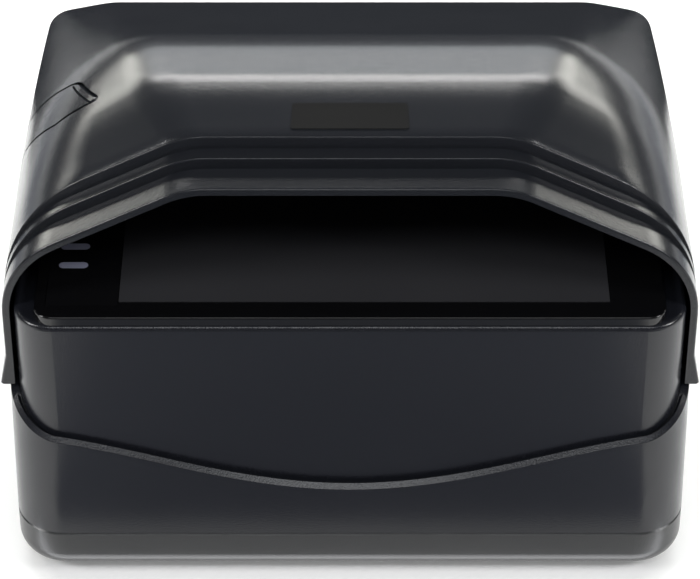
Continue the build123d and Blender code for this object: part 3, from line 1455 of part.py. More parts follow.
def lever_spring():
    """Return spring round the lever's pin, as a plain sleeve."""
    high = ear_spans()[1][0] - LEVER_SPRING_GAP
    low = lever_span()[1] + LEVER_SPRING_GAP
    x, z = lever_axis()
    return rod_y(LEVER_SPRING_OUTER, low, high, x, z) - rod_y(LEVER_SPRING_INNER, HOOD_RIM, AXIS_Y, x, z)


def latch_magnet():
    """Round magnet let into the lever's lower end."""
    y, z = magnet_place()
    face = -HOUSING_HALF - LATCH_GAP
    return rod_x(MAGNET_RADIUS, face - MAGNET_THICKNESS, face, y, z)


def strike_plate():
    """Steel plate in the housing's side that the magnet holds to."""
    y, z = magnet_place()
    half = STRIKE_SIZE / 2
    face = -HOUSING_HALF
    return block(face, face + STRIKE_THICKNESS, y - half, y + half, z - half, z + half)


def label_plate():
    """Bare plate on the front slope, slightly wider at its lower edge."""
    crown = HOOD_EDGE + terrace_stations()[1]
    tilt = degrees(atan2(SLOPE_BREAK_RISE, SLOPE_BREAK))
    half_top, half_bottom = LABEL_TOP_WIDTH / 2, LABEL_BOTTOM_WIDTH / 2
    outline = make_face(Polyline(
        (-half_bottom, 0), (half_bottom, 0), (half_top, LABEL_LENGTH), (-half_top, LABEL_LENGTH), close=True
    ))
    outline = fillet(outline.vertices(), LABEL_CORNER)
    lift = LABEL_FROM_BODY * tan(radians(tilt))
    plate = extrude(outline, LABEL_THICKNESS)
    return Pos(0, body_start() + LABEL_FROM_BODY, crown + lift) * Rot(tilt, 0, 0) * plate


def save(name, shape):
    """Write one named piece, or one group of like pieces."""
    solids = []
    for item in shape if isinstance(shape, list) else [shape]:
        solids += item.solids()
    whole = solids[0] if len(solids) == 1 else Compound(children=solids)
    export_step(whole, f"parts/{name}.step")
    print(name, len(solids), "solids, volume", round(sum(s.volume for s in solids), 1))


def main():
    os.makedirs("parts", exist_ok=True)
    outer = hood_outer()
    inner = hood_inner()
    pieces = {
        "base_tray": base_tray(),
        "rubber_feet": rubber_feet(),
        "case_screws": case_screws(),
        "lower_skirt": lower_skirt(),
        "hood_bumpers": hood_bumpers(),
        "upper_housing": upper_housing(),
        "deck_plate": deck_plate(),
        "document_glass": document_glass(),
        "glass_gasket": glass_gasket(),
        "indicator_strip": indicator_strip(),
        "light_bars": light_bars(),
        "indicator_board": indicator_board(),
        "indicator_lamps": indicator_lamps(),
        "light_box": light_box(),
        "light_box_screws": light_box_screws(),
        "white_light_boards": white_light_boards(),
        "white_lamps": white_lamps(),
        "light_diffusers": light_diffusers(),
        "uv_light_boards": uv_light_boards(),
        "uv_lamps": uv_lamps(),
        "camera_board": camera_board(),
        "camera_screws": camera_screws(),
        "image_sensor": image_sensor(),
        "lens_holder": lens_holder(),
        "lens_barrel": lens_barrel(),
        "front_lens": front_lens(),
        "antenna_board": antenna_board(),
        "main_board": main_board(),
        "main_board_screws": main_board_screws(),
        "processor": processor(),
        "heat_sink": heat_sink(),
        "board_components": board_components(),
        "board_connectors": board_connectors(),
        "camera_flex": camera_flex(),
        "usb_socket": usb_socket(),
        "power_jack": power_jack(),
        "switch_frame": switch_frame(),
        "power_rocker": power_rocker(),
        "hinge_brackets": hinge_brackets(),
        "hinge_screws": hinge_screws(),
        "hinge_pins": hinge_pins(),
        "hinge_washers": hinge_washers(),
        "pin_clips": pin_clips(),
        "strike_plate": strike_plate(),
        "hood_shell": hood_shell(outer, inner),
        "label_plate": label_plate(),
        "release_lever": release_lever(outer, inner),
        "lever_pin": lever_pin(),
        "lever_spring": lever_spring(),
        "latch_magnet": latch_magnet(),
    }
    for name, shape in pieces.items():
        save(name, shape)


main()
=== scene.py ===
import json
import math

import bmesh
import bpy
from bpy.props import FloatProperty, FloatVectorProperty, PointerProperty
from mathutils import Matrix, Vector
from mathutils.bvhtree import BVHTree


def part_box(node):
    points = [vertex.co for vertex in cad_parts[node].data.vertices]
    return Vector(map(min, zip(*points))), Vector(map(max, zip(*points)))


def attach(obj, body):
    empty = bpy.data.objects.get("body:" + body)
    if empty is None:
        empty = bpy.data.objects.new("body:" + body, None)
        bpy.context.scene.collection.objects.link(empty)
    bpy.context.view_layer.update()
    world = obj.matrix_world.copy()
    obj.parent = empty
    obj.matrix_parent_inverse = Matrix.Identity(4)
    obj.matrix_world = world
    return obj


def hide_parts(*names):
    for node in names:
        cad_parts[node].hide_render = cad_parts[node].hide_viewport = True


bl_info = {
    "name": "Travel Document Scanner",
    "version": (1, 0, 0),
    "blender": (4, 5, 0),
    "location": "View3D > Sidebar > Scanner",
    "description": "Dresses the document scanner and sets its stage",
    "category": "Object",
}

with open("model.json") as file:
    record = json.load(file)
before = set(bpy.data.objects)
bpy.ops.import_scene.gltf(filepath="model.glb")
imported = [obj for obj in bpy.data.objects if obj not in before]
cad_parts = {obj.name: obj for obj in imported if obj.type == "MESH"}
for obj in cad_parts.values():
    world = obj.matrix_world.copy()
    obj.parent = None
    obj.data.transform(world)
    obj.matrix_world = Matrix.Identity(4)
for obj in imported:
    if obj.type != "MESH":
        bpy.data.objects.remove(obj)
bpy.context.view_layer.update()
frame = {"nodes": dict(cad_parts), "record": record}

MM = 0.001
HOOD_LOW, HOOD_HIGH = (Vector(corner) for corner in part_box("hood_shell"))
BARREL_PIN_LOW, BARREL_PIN_HIGH = (Vector(corner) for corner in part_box("hinge_pins"))
AXIS_Y = (BARREL_PIN_LOW.y + BARREL_PIN_HIGH.y) / 2
AXIS_Z = (BARREL_PIN_LOW.z + BARREL_PIN_HIGH.z) / 2


def length(name, about, default):
    """A size that a user may change, in metres."""
    return FloatProperty(name=name, description=about, default=default, unit="LENGTH", precision=5)


def colour(name, about, default):
    """A colour that a user may change."""
    return FloatVectorProperty(
        name=name, description=about, default=default, subtype="COLOR", size=3, min=0, max=1,
    )


class HoodSizes(bpy.types.PropertyGroup):
    wall: length("Wall", "Thickness of the hood's skin", 2 * MM)
    flare: length("Flare", "How far the side walls flare out at their foot", 1.85 * MM)
    flare_height: length("Flare height", "Height of the flared foot", 9.7 * MM)
    crown_round: length("Crown round", "Radius between the crown and each shoulder", 25 * MM)
    barrel_radius: length("Barrel radius", "Radius of the hood's rolled back end", 11 * MM)
    rim_round: length("Rim round", "Rounding of the mouth's edge", 0.6 * MM)
    step_round: length("Step round", "Rounding of each terrace's upper edge", 0.55 * MM)
    crest_blend: length("Crest blend", "Softness of the crest on the crown", 0.7 * MM)
    flank_blend: length("Flank blend", "Softness of the crest on the shoulders", 3 * MM)
    lever_gap: length("Lever gap", "Slot round the release lever", 0.6 * MM)


class ShellColours(bpy.types.PropertyGroup):
    hood: colour("Hood", "Textured plastic of the hood and its lever", (0.0112, 0.0125, 0.0160))
    base: colour("Base", "Textured plastic of the skirt and the housing", (0.0110, 0.0120, 0.0160))
    tray: colour("Tray", "Textured plastic of the floor tray", (0.0220, 0.0230, 0.0240))
    deck: colour("Deck", "Polished plate round the glass", (0.0028, 0.0028, 0.0032))
    glass: colour("Glass", "Tint of the document glass", (0.03, 0.03, 0.033))
    light_bar: colour("Light bar", "Frosted light bars", (0.34, 0.35, 0.47))
    label: colour("Label", "Bare label plate", (0.011, 0.011, 0.011))


class StageSettings(bpy.types.PropertyGroup):
    camera_place: FloatVectorProperty(
        name="Camera place", description="Where the camera stands", default=(0, -0.72122, 0.60765),
        subtype="XYZ", unit="LENGTH",
    )
    camera_pitch: FloatProperty(
        name="Camera pitch", description="How far the camera looks down", default=math.radians(38.5),
        subtype="ANGLE",
    )
    focal_length: FloatProperty(
        name="Focal length", description="Focal length in millimetres on a 36 mm frame", default=162.1,
    )
    floor_size: length("Floor size", "Side of the square floor", 6.0)


class Value:
    """A shader value: a node's output with the arithmetic that the finishes need."""

    def __init__(self, recipe, socket):
        self.recipe = recipe
        self.socket = socket

    def maths(self, operation, other):
        return self.recipe.node("ShaderNodeMath", {"operation": operation}, {0: self, 1: other})

    def __add__(self, other):
        return self.maths("ADD", other)

    __radd__ = __add__

    def __mul__(self, other):
        return self.maths("MULTIPLY", other)

    __rmul__ = __mul__

    def below(self, other):
        return self.maths("LESS_THAN", other)


MIX_SHARE, MIX_FIRST, MIX_SECOND, MIX_RESULT = 0, 6, 7, 2


class Recipe:
    """Builds one material from nodes."""

    def __init__(self, name):
        self.material = bpy.data.materials.new(name)
        self.material.use_nodes = True
        self.tree = self.material.node_tree
        self.tree.nodes.clear()
        self.output = self.tree.nodes.new("ShaderNodeOutputMaterial")

    def node(self, kind, settings, inputs, output=0):
        node = self.tree.nodes.new(kind)
        for key, setting in settings.items():
            if key == "stops":
                self.set_stops(node.color_ramp, setting)
            else:
                setattr(node, key, setting)
        for key, value in inputs.items():
            if isinstance(value, Value):
                self.tree.links.new(value.socket, node.inputs[key])
            else:
                node.inputs[key].default_value = value
        return Value(self, node.outputs[output])

    def set_stops(self, ramp, stops):
        while len(ramp.elements) < len(stops):
            ramp.elements.new(0.5)
        for element, (place, grey) in zip(ramp.elements, stops):
            element.position = place
            element.color = (grey, grey, grey, 1)

    def place(self):
        """Object coordinates in metres."""
        return self.node("ShaderNodeTexCoord", {}, {}, "Object")

    def stretched(self, scale):
        """Object coordinates scaled by a different number on each axis."""
        return self.node("ShaderNodeMapping", {}, {"Vector": self.place(), "Scale": scale})

    def noise(self, scale, detail=2.0, vector=None):
        """Cloudy pattern with so many clouds to the metre."""
        vector = vector or self.place()
        return self.node("ShaderNodeTexNoise", {}, {"Vector": vector, "Scale": scale, "Detail": detail})

    def cells(self, scale):
        """Distance to the nearest of so many scattered points to the metre."""
        inputs = {"Vector": self.place(), "Scale": scale}
        return self.node("ShaderNodeTexVoronoi", {"feature": "F1"}, inputs, "Distance")

    def ramp(self, value, *stops):
        return self.node("ShaderNodeValToRGB", {"stops": stops}, {0: value})

    def spread(self, value, low, high):
        """Moves a value from 0 to 1 into another range."""
        return self.node("ShaderNodeMapRange", {}, {"Value": value, "To Min": low, "To Max": high})

    def mixed(self, share, first, second):
        """Colour between two colours."""
        first, second = (tone if isinstance(tone, Value) else (*tone, 1) for tone in (first, second))
        inputs = {MIX_SHARE: share, MIX_FIRST: first, MIX_SECOND: second}
        return self.node("ShaderNodeMix", {"data_type": "RGBA"}, inputs, MIX_RESULT)

    def bump(self, height, distance, strength):
        """Normals of a relief so many metres deep."""
        inputs = {"Height": height, "Distance": distance, "Strength": strength}
        return self.node("ShaderNodeBump", {}, inputs)

    def surface(self, **inputs):
        """Ends the material in a Principled shader and returns it."""
        named = {key.replace("_", " "): value for key, value in inputs.items()}
        for key, value in named.items():
            if isinstance(value, tuple) and len(value) == 3:
                named[key] = (*value, 1)
        shader = self.node("ShaderNodeBsdfPrincipled", {}, named)
        self.tree.links.new(shader.socket, self.output.inputs["Surface"])
        return self.material


def shade(colour_value, factor):
    """A colour made lighter or darker."""
    return tuple(min(1.0, channel * factor) for channel in colour_value)


def textured_plastic(name, colour_value, roughness):
    """Moulded plastic with a fine spark-eroded texture."""
    recipe = Recipe(name)
    grain = recipe.noise(2600, 3.0)
    pores = recipe.cells(1900)
    cloud = recipe.noise(28, 3.0)
    tone = recipe.mixed(recipe.spread(cloud, 0.2, 0.8), shade(colour_value, 0.94), shade(colour_value, 1.06))
    tone = recipe.mixed(recipe.spread(grain, 0.0, 0.5), tone, shade(colour_value, 1.3))
    rough = recipe.spread(cloud, roughness - 0.03, roughness + 0.03)
    normal = recipe.bump(grain + pores * 0.5, 0.00006, 0.5)
    return recipe.surface(Base_Color=tone, Roughness=rough, Normal=normal, IOR=1.5, Specular_IOR_Level=0.5)


def polished_plastic(name, colour_value, roughness=0.08):
    """Moulded gloss plastic with faint wipe marks."""
    recipe = Recipe(name)
    wipe = recipe.noise(9, 4.0, recipe.stretched((1, 4, 1)))
    tone = recipe.mixed(recipe.spread(wipe, 0, 1), colour_value, shade(colour_value, 1.5))
    rough = recipe.spread(wipe, roughness * 0.7, roughness * 1.5)
    ripple = recipe.bump(recipe.noise(35, 1.0), 0.00002, 0.4)
    return recipe.surface(Base_Color=tone, Roughness=rough, Normal=ripple, IOR=1.5)


def matt_plastic(name, colour_value, roughness=0.55):
    """Plain moulded plastic with a faint mottle."""
    recipe = Recipe(name)
    cloud = recipe.noise(120, 3.0)
    tone = recipe.mixed(recipe.spread(cloud, 0, 1), shade(colour_value, 0.9), shade(colour_value, 1.1))
    rough = recipe.spread(cloud, roughness - 0.05, roughness + 0.05)
    relief = recipe.bump(recipe.noise(1500), 0.00003, 0.4)
    return recipe.surface(Base_Color=tone, Roughness=rough, Normal=relief)


def tinted_glass(name, colour_value):
    """Coated glass that looks nearly black from above, with faint smears."""
    recipe = Recipe(name)
    smear = recipe.noise(14, 4.0, recipe.stretched((1.5, 0.6, 1)))
    rough = recipe.spread(smear, 0.015, 0.05)
    tone = recipe.mixed(recipe.spread(smear, 0, 1), colour_value, shade(colour_value, 1.3))
    return recipe.surface(Base_Color=tone, Roughness=rough, IOR=1.52, Coat_Weight=0.3, Coat_Roughness=0.02)


def soft_rubber(name, colour_value):
    """Dull rubber or foam with fine pores."""
    recipe = Recipe(name)
    pores = recipe.cells(900)
    tone = recipe.mixed(pores, shade(colour_value, 0.7), shade(colour_value, 1.5))
    return recipe.surface(Base_Color=tone, Roughness=0.85, Normal=recipe.bump(pores, 0.00008, 0.6))


def plated_metal(name, colour_value, roughness, stretch):
    """Plated or brushed metal with marks drawn out along one axis."""
    recipe = Recipe(name)
    strokes = recipe.noise(600, 4.0, recipe.stretched(stretch))
    cloud = recipe.noise(90, 3.0)
    share = recipe.spread(strokes, 0.2, 0.8)
    tone = recipe.mixed(share, shade(colour_value, 0.85), shade(colour_value, 1.1))
    rough = recipe.spread(cloud, roughness - 0.06, roughness + 0.08)
    relief = recipe.bump(strokes, 0.00002, 0.5)
    return recipe.surface(Base_Color=tone, Metallic=1.0, Roughness=rough, Normal=relief)


def circuit_green(name, colour_value):
    """Solder mask with copper tracks and tinned pads showing through."""
    recipe = Recipe(name)
    tracks = recipe.node(
        "ShaderNodeTexBrick", {"offset": 0.37, "squash": 1.4},
        {"Vector": recipe.place(), "Scale": 160, "Mortar Size": 0.035, "Mortar Smooth": 0.1}, "Fac",
    )
    pads = recipe.cells(420).below(0.16)
    tone = recipe.mixed(tracks, colour_value, shade(colour_value, 1.9))
    tone = recipe.mixed(pads, tone, (0.55, 0.52, 0.42))
    rough = recipe.spread(recipe.noise(80), 0.3, 0.42)
    relief = recipe.bump(tracks + pads, 0.00004, 0.5)
    return recipe.surface(Base_Color=tone, Metallic=pads * 0.8, Roughness=rough, Normal=relief)


def moulded_chip(name, colour_value):
    """Epoxy chip package with a sandy face."""
    recipe = Recipe(name)
    sand = recipe.noise(3200, 2.0)
    tone = recipe.mixed(recipe.spread(sand, 0, 1), colour_value, shade(colour_value, 2.2))
    return recipe.surface(Base_Color=tone, Roughness=0.6, Normal=recipe.bump(sand, 0.00003, 0.5))


def flat_conductors(name, colour_value):
    """Amber film with parallel conductors under it."""
    recipe = Recipe(name)
    lines = recipe.node(
        "ShaderNodeTexWave", {"wave_type": "BANDS", "bands_direction": "X"},
        {"Vector": recipe.place(), "Scale": 160, "Distortion": 0.0},
    )
    tone = recipe.mixed(recipe.ramp(lines, (0.4, 0.0), (0.6, 1.0)), colour_value, shade(colour_value, 1.6))
    return recipe.surface(Base_Color=tone, Roughness=0.3, Normal=recipe.bump(lines, 0.00003, 0.4))


def sensor_face(name, colour_value):
    """Dark sensor window with a fine pixel grid."""
    recipe = Recipe(name)
    grid = recipe.node("ShaderNodeTexChecker", {}, {"Vector": recipe.place(), "Scale": 2400}, "Fac")
    tone = recipe.mixed(grid, colour_value, (0.02, 0.06, 0.09))
    return recipe.surface(Base_Color=tone, Roughness=0.12, Normal=recipe.bump(grid, 0.000005, 0.3))


def frosted(name, colour_value, roughness):
    """Translucent moulding with a milky surface."""
    recipe = Recipe(name)
    milk = recipe.noise(240, 2.0)
    tone = recipe.mixed(recipe.spread(milk, 0, 1), shade(colour_value, 0.92), shade(colour_value, 1.08))
    return recipe.surface(Base_Color=tone, Roughness=roughness, Normal=recipe.bump(milk, 0.00002, 0.3))


finishes = {}


def finish_for(slot):
    """Material of one slot of the record, made once."""
    if not finishes:
        tint = bpy.context.scene.scanner_colours
        steel = (0.5, 0.5, 0.51)
        finishes.update(
            hood_plastic=textured_plastic("hood_plastic", tint.hood, 0.22),
            body_plastic=textured_plastic("body_plastic", tint.base, 0.22),
            tray_plastic=textured_plastic("tray_plastic", tint.tray, 0.3),
            gloss_black=polished_plastic("gloss_black", tint.deck),
            smoked_strip=polished_plastic("smoked_strip", shade(tint.deck, 1.2), 0.12),
            document_glass=tinted_glass("document_glass", tint.glass),
            light_bar=frosted("light_bar", tint.light_bar, 0.35),
            rubber=soft_rubber("rubber", (0.02, 0.02, 0.02)),
            foam=soft_rubber("foam", (0.012, 0.012, 0.012)),
            steel=plated_metal("steel", steel, 0.3, (1, 1, 6)),
            black_plastic=matt_plastic("black_plastic", (0.014, 0.014, 0.015)),
            circuit_board=circuit_green("circuit_board", (0.01, 0.09, 0.045)),
            lamp=frosted("lamp", (0.8, 0.72, 0.35), 0.25),
            diffuser=frosted("diffuser", (0.75, 0.77, 0.8), 0.5),
            sensor_glass=sensor_face("sensor_glass", (0.03, 0.05, 0.04)),
            anodised=plated_metal("anodised", (0.045, 0.045, 0.047), 0.4, (1, 1, 3)),
            lens_glass=tinted_glass("lens_glass", (0.03, 0.02, 0.06)),
            chip=moulded_chip("chip", (0.012, 0.012, 0.012)),
            connector_plastic=matt_plastic("connector_plastic", (0.7, 0.66, 0.54)),
            flex_film=flat_conductors("flex_film", (0.42, 0.2, 0.04)),
            plated_shell=plated_metal("plated_shell", (0.66, 0.66, 0.66), 0.22, (1, 4, 1)),
            cast_zinc=plated_metal("cast_zinc", (0.3, 0.3, 0.31), 0.5, (1, 1, 1)),
            washer_plastic=matt_plastic("washer_plastic", (0.62, 0.62, 0.59)),
            label=polished_plastic("label", tint.label, 0.14),
        )
    return finishes[slot]


slot_of = {part["node"]: part["material_slot"] for part in frame["record"]["subparts"]}


def dress(*nodes):
    """Gives CAD nodes the finish of their slot."""
    for node in nodes:
        piece = frame["nodes"][node]
        piece.data.materials.clear()
        piece.data.materials.append(finish_for(slot_of[node]))


SHARP_ANGLE = math.radians(35)
MERGE_REACH = 1e-6


def show(name, bm, body, slot):
    """Turns a bmesh into a piece of the object."""
    mesh = bpy.data.meshes.new(name)
    bm.to_mesh(mesh)
    bm.free()
    mesh.polygons.foreach_set("use_smooth", [True] * len(mesh.polygons))
    mesh.set_sharp_from_angle(angle=SHARP_ANGLE)
    mesh.materials.append(finish_for(slot))
    piece = bpy.data.objects.new(name, mesh)
    bpy.context.scene.collection.objects.link(piece)
    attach(piece, body)
    return piece


def evened(piece):
    """Lets large faces lead the shading, so that the slivers beside a cut don't show."""
    modifier = piece.modifiers.new("even_shading", "WEIGHTED_NORMAL")
    modifier.keep_sharp = True
    return piece


def merged_copy(node):
    """Copy of a CAD node's mesh with its points merged and without its stored normals."""
    mesh = frame["nodes"][node].data.copy()
    stored = mesh.attributes.get("custom_normal")
    if stored:
        mesh.attributes.remove(stored)
    bm = bmesh.new()
    bm.from_mesh(mesh)
    bpy.data.meshes.remove(mesh)
    bmesh.ops.remove_doubles(bm, verts=bm.verts, dist=MERGE_REACH)
    return bm


def cut(bm, cutters, operation):
    """Joins a bmesh with others by a Boolean modifier and returns the result."""
    base = scratch_object(bm)
    tools = [scratch_object(cutter) for cutter in cutters]
    for tool in tools:
        modifier = base.modifiers.new("cut", "BOOLEAN")
        modifier.operation = operation
        modifier.solver = "MANIFOLD"
        modifier.object = tool
    bpy.context.view_layer.update()
    result = bmesh.new()
    result.from_object(base, bpy.context.evaluated_depsgraph_get())
    for item in [base, *tools]:
        mesh = item.data
        bpy.data.objects.remove(item)
        bpy.data.meshes.remove(mesh)
    bmesh.ops.remove_doubles(result, verts=result.verts, dist=MERGE_REACH)
    bmesh.ops.dissolve_degenerate(result, edges=result.edges, dist=MERGE_REACH)
    return result


def scratch_object(bm):
    """Unseen object that holds a bmesh while a modifier works on it."""
    mesh = bpy.data.meshes.new("scratch")
    bm.to_mesh(mesh)
    bm.free()
    item = bpy.data.objects.new("scratch", mesh)
    bpy.context.scene.collection.objects.link(item)
    return item


def lofted(rings):
    """Closed block through rings of equal point counts, in order."""
    bm = bmesh.new()
    loops = []
    for ring in rings:
        verts = [bm.verts.new(point) for point in ring]
        loops.append([bm.edges.new((verts[n], verts[n - 1])) for n in range(len(verts))])
        if ring is rings[0] or ring is rings[-1]:
            bm.faces.new(verts)
    for first, second in zip(loops, loops[1:]):
        bmesh.ops.bridge_loops(bm, edges=first + second)
    bmesh.ops.recalc_face_normals(bm, faces=bm.faces)
    return bm


CORNER_SEGMENTS = 5
ROD_SEGMENTS = 48
PIN_SEGMENTS = 32


def prism(outline, low, high, rounded=(), radius=0.0):
    """Block with an outline in Y and Z between two places along X; some corners may be rounded."""
    bm = bmesh.new()
    verts = [bm.verts.new((low, y, z)) for y, z in outline]
    face = bm.faces.new(verts)
    raised = bmesh.ops.extrude_face_region(bm, geom=[face])["geom"]
    moved = [item for item in raised if isinstance(item, bmesh.types.BMVert)]
    bmesh.ops.translate(bm, verts=moved, vec=(high - low, 0, 0))
    corners = [edge for n in rounded for edge in verts[n].link_edges if edge.other_vert(verts[n]) in moved]
    if corners:
        bmesh.ops.bevel(
            bm, geom=corners, offset=radius, segments=CORNER_SEGMENTS, profile=0.5, affect="EDGES",
            material=-1,
        )
    bmesh.ops.recalc_face_normals(bm, faces=bm.faces)
    return bm


def rod(radius, low, high, axis="X", across=None, segments=ROD_SEGMENTS):
    """Round bar along X or Y, about the hinge axis unless told where it lies across that axis."""
    first, second = across or (AXIS_Y, AXIS_Z)
    middle = (low + high) / 2
    bm = bmesh.new()
    bmesh.ops.create_cone(
        bm, cap_ends=True, segments=segments, radius1=radius, radius2=radius, depth=high - low,
    )
    turn = Matrix.Rotation(math.pi / 2, 3, "Y" if axis == "X" else "X")
    bmesh.ops.rotate(bm, verts=bm.verts, matrix=turn)
    place = (middle, first, second) if axis == "X" else (first, middle, second)
    bmesh.ops.translate(bm, verts=bm.verts, vec=place)
    return bm


def block(low, high):
    """Box between two corners."""
    bm = bmesh.new()
    bmesh.ops.create_cube(bm, size=1)
    bmesh.ops.scale(bm, verts=bm.verts, vec=[b - a for a, b in zip(low, high)])
    bmesh.ops.translate(bm, verts=bm.verts, vec=[(a + b) / 2 for a, b in zip(low, high)])
    return bm


class HoodShape:
    """The hood's skin as sections along Y, in metres.

    Each section has a shoulder's width, a shoulder's angle and a wall's height. Sizes in capitals are in
    millimetres, and places are distances behind the mouth's rim.
    """

    RIM = (49.15, 27.0, 24.2)
    BODY = (48.65, 27.5, 23.9)
    CREST = (39.45, 35.0, 21.5)
    PLATEAU = (37.65, 34.0, 21.0)
    TAIL = (21.15, 14.5, 10.6)
    STEP_ONE = (6.95, 66.77, 70.07)
    STEP_TWO = (10.2, 70.85, 74.55)
    RIM_CROWN = 65.1
    CREST_PLACE = (30.5, 80.05)
    PLATEAU_END = 39.9
    SLOPE_END = 20.5
    CREST_SLOPE = 0.09
    TAIL_TURN = math.radians(29)
    LIMIT_CLEARANCE = math.radians(3)
    BARREL_END = math.radians(-50)
    BARREL_STEPS = 24
    SLOPE_REACH = 170
    HALF_CUT = 200
    FOOT_POINTS = 3
    ARC_STEPS = 12
    CROWN_STEPS = 8
    BLEND_SHARES = (-1.0, -0.67, -0.33, 0.0, 0.33, 0.67, 1.0)
    RIM_STEPS = 3
    RISER_STEPS = 4
    RISER_SINK = 0.01
    BODY_START = 1.2
    BODY_STEP = 2.0
    CREST_STEP = 0.5
    CREST_REACH = 9
    PAST_TAIL = 12
    HOLLOW_AHEAD = 3.0
    HOLLOW_DROP = 0.5
    HOLLOW_START = 11
    HOLLOW_STEP = 3.0
    PAST_EDGE = 10

    def __init__(self, sizes):
        self.sizes = sizes
        self.edge = HOOD_LOW.z
        self.rim = HOOD_LOW.y
        self.half = HOOD_HIGH.x - sizes.flare
        turn = math.pi / 2 - self.TAIL_TURN
        self.tail_y = AXIS_Y + sizes.barrel_radius * math.cos(turn)
        self.tail_z = AXIS_Z + sizes.barrel_radius * math.sin(turn)
        self.tail = (self.tail_y - self.rim) / MM

    def mix(self, first, second, share):
        return tuple(a + (b - a) * share for a, b in zip(first, second))

    def form(self, place):
        """Shoulder, angle and wall height at a distance behind the rim, in millimetres and degrees."""
        crest, plateau = self.CREST_PLACE[0], self.PLATEAU_END
        start = self.STEP_TWO[0]
        if place <= start:
            return self.RIM
        if place <= crest:
            return self.mix(self.BODY, self.CREST, (place - start) / (crest - start))
        if place <= plateau:
            return self.mix(self.CREST, self.PLATEAU, (place - crest) / (plateau - crest))
        share = (place - plateau) / (self.tail - plateau)
        shoulder, angle, _ = self.mix(self.PLATEAU, self.TAIL, share)
        return shoulder, angle, self.PLATEAU[2] + (self.TAIL[2] - self.PLATEAU[2]) * share ** 2

    def body_crown(self, place):
        """Height of the crown behind the terraces, in millimetres."""
        start, foot = self.STEP_TWO[0], self.STEP_TWO[2]
        crest, top = self.CREST_PLACE
        if place <= crest:
            turn = crest - self.SLOPE_END
            slope = (top - foot - self.CREST_SLOPE * turn / 2) / (self.SLOPE_END - start + turn / 2)
            past = max(0.0, place - self.SLOPE_END)
            return foot + slope * (place - start) - (slope - self.CREST_SLOPE) * past ** 2 / (2 * turn)
        plateau = self.PLATEAU_END
        if place <= plateau:
            return top
        tail_crown = (self.tail_z - self.edge) / MM
        slope = math.tan(self.TAIL_TURN)
        meet = self.tail - (top - tail_crown) / slope
        bend = (meet - plateau) / math.tan(self.TAIL_TURN / 2)
        along = place - plateau
        if along < bend * math.sin(self.TAIL_TURN):
            return top - bend + math.sqrt(bend ** 2 - along ** 2)
        return tail_crown + (self.tail - place) * slope

    def chain(self, crown, form, inset):
        """Right half of one section from the foot to the middle of the crown, as X and Z in metres."""
        sizes = self.sizes
        shoulder, angle, wall = form[0] * MM, math.radians(form[1]), form[2] * MM
        half = self.half - inset
        crown_x = self.half - shoulder - inset * math.tan(angle / 2)
        crown_z = self.edge + crown * MM - inset
        wall_z = self.edge + wall
        turn = math.pi / 2 - angle
        side_round = (crown_z - (half - crown_x) * math.tan(angle) - wall_z) / math.tan(turn / 2)
        crown_round = sizes.crown_round - inset
        crown_centre = (crown_x - crown_round * math.tan(angle / 2), crown_z - crown_round)
        if inset >= sizes.wall:
            levels = (self.edge - sizes.flare_height, self.edge, self.edge + sizes.flare_height)
            points = [(half, level) for level in levels]
        else:
            foot = half + sizes.flare
            soft = sizes.rim_round / 2
            points = [(foot - soft, self.edge), (foot, self.edge + soft)]
            points.append((half, self.edge + sizes.flare_height))
        for step in range(self.ARC_STEPS + 1):
            a = turn * step / self.ARC_STEPS
            points.append((half - side_round + side_round * math.cos(a), wall_z + side_round * math.sin(a)))
        for step in range(self.CROWN_STEPS + 1):
            a = turn + angle * step / self.CROWN_STEPS
            x, z = crown_centre
            points.append((x + crown_round * math.cos(a), z + crown_round * math.sin(a)))
        points.append((0, crown_z))
        return points

    def softness(self, index, count):
        """Half width over which the crest is rounded at one point of the section, in millimetres."""
        flank = self.FOOT_POINTS + self.ARC_STEPS + 1
        share = min(1.0, max(0.0, (index - flank) / (count - flank - 1)))
        return (self.sizes.flank_blend + (self.sizes.crest_blend - self.sizes.flank_blend) * share) / MM

    def body_chain(self, place, inset):
        """Section behind the terraces, with the crest rounded more towards the flanks."""
        start = self.STEP_TWO[0]
        plain = self.chain(self.body_crown(place), self.form(place + 1e-6), inset)
        chains = {}
        blended = []
        for index, point in enumerate(plain):
            reach = min(self.softness(index, len(plain)), place - start)
            samples = []
            for share in self.BLEND_SHARES:
                spot = round(place + reach * share, 3)
                if spot not in chains:
                    chains[spot] = self.chain(self.body_crown(spot), self.form(spot + 1e-6), inset)
                samples.append(chains[spot][index])
            blended.append(tuple(sum(values) / len(samples) for values in zip(*samples)))
        return blended

    def ring(self, place, chain):
        """Closed ring at a distance behind the rim."""
        y = self.rim + place * MM
        right = [(x, y, z) for x, z in chain]
        left = [(-x, y, z) for x, z in chain[:-1]]
        return right + left[::-1]

    def step_rings(self, place, low, high):
        """Rings up one riser, with a hollow corner at its foot and a rounded upper edge."""
        soft = self.sizes.step_round / MM
        rings = [(place - soft / 2, low - self.RISER_SINK), (place, low)]
        for number in range(self.RISER_STEPS + 1):
            a = math.pi / 2 * number / self.RISER_STEPS
            rings.append((place + soft * (1 - math.cos(a)), high - soft * (1 - math.sin(a))))
        return rings

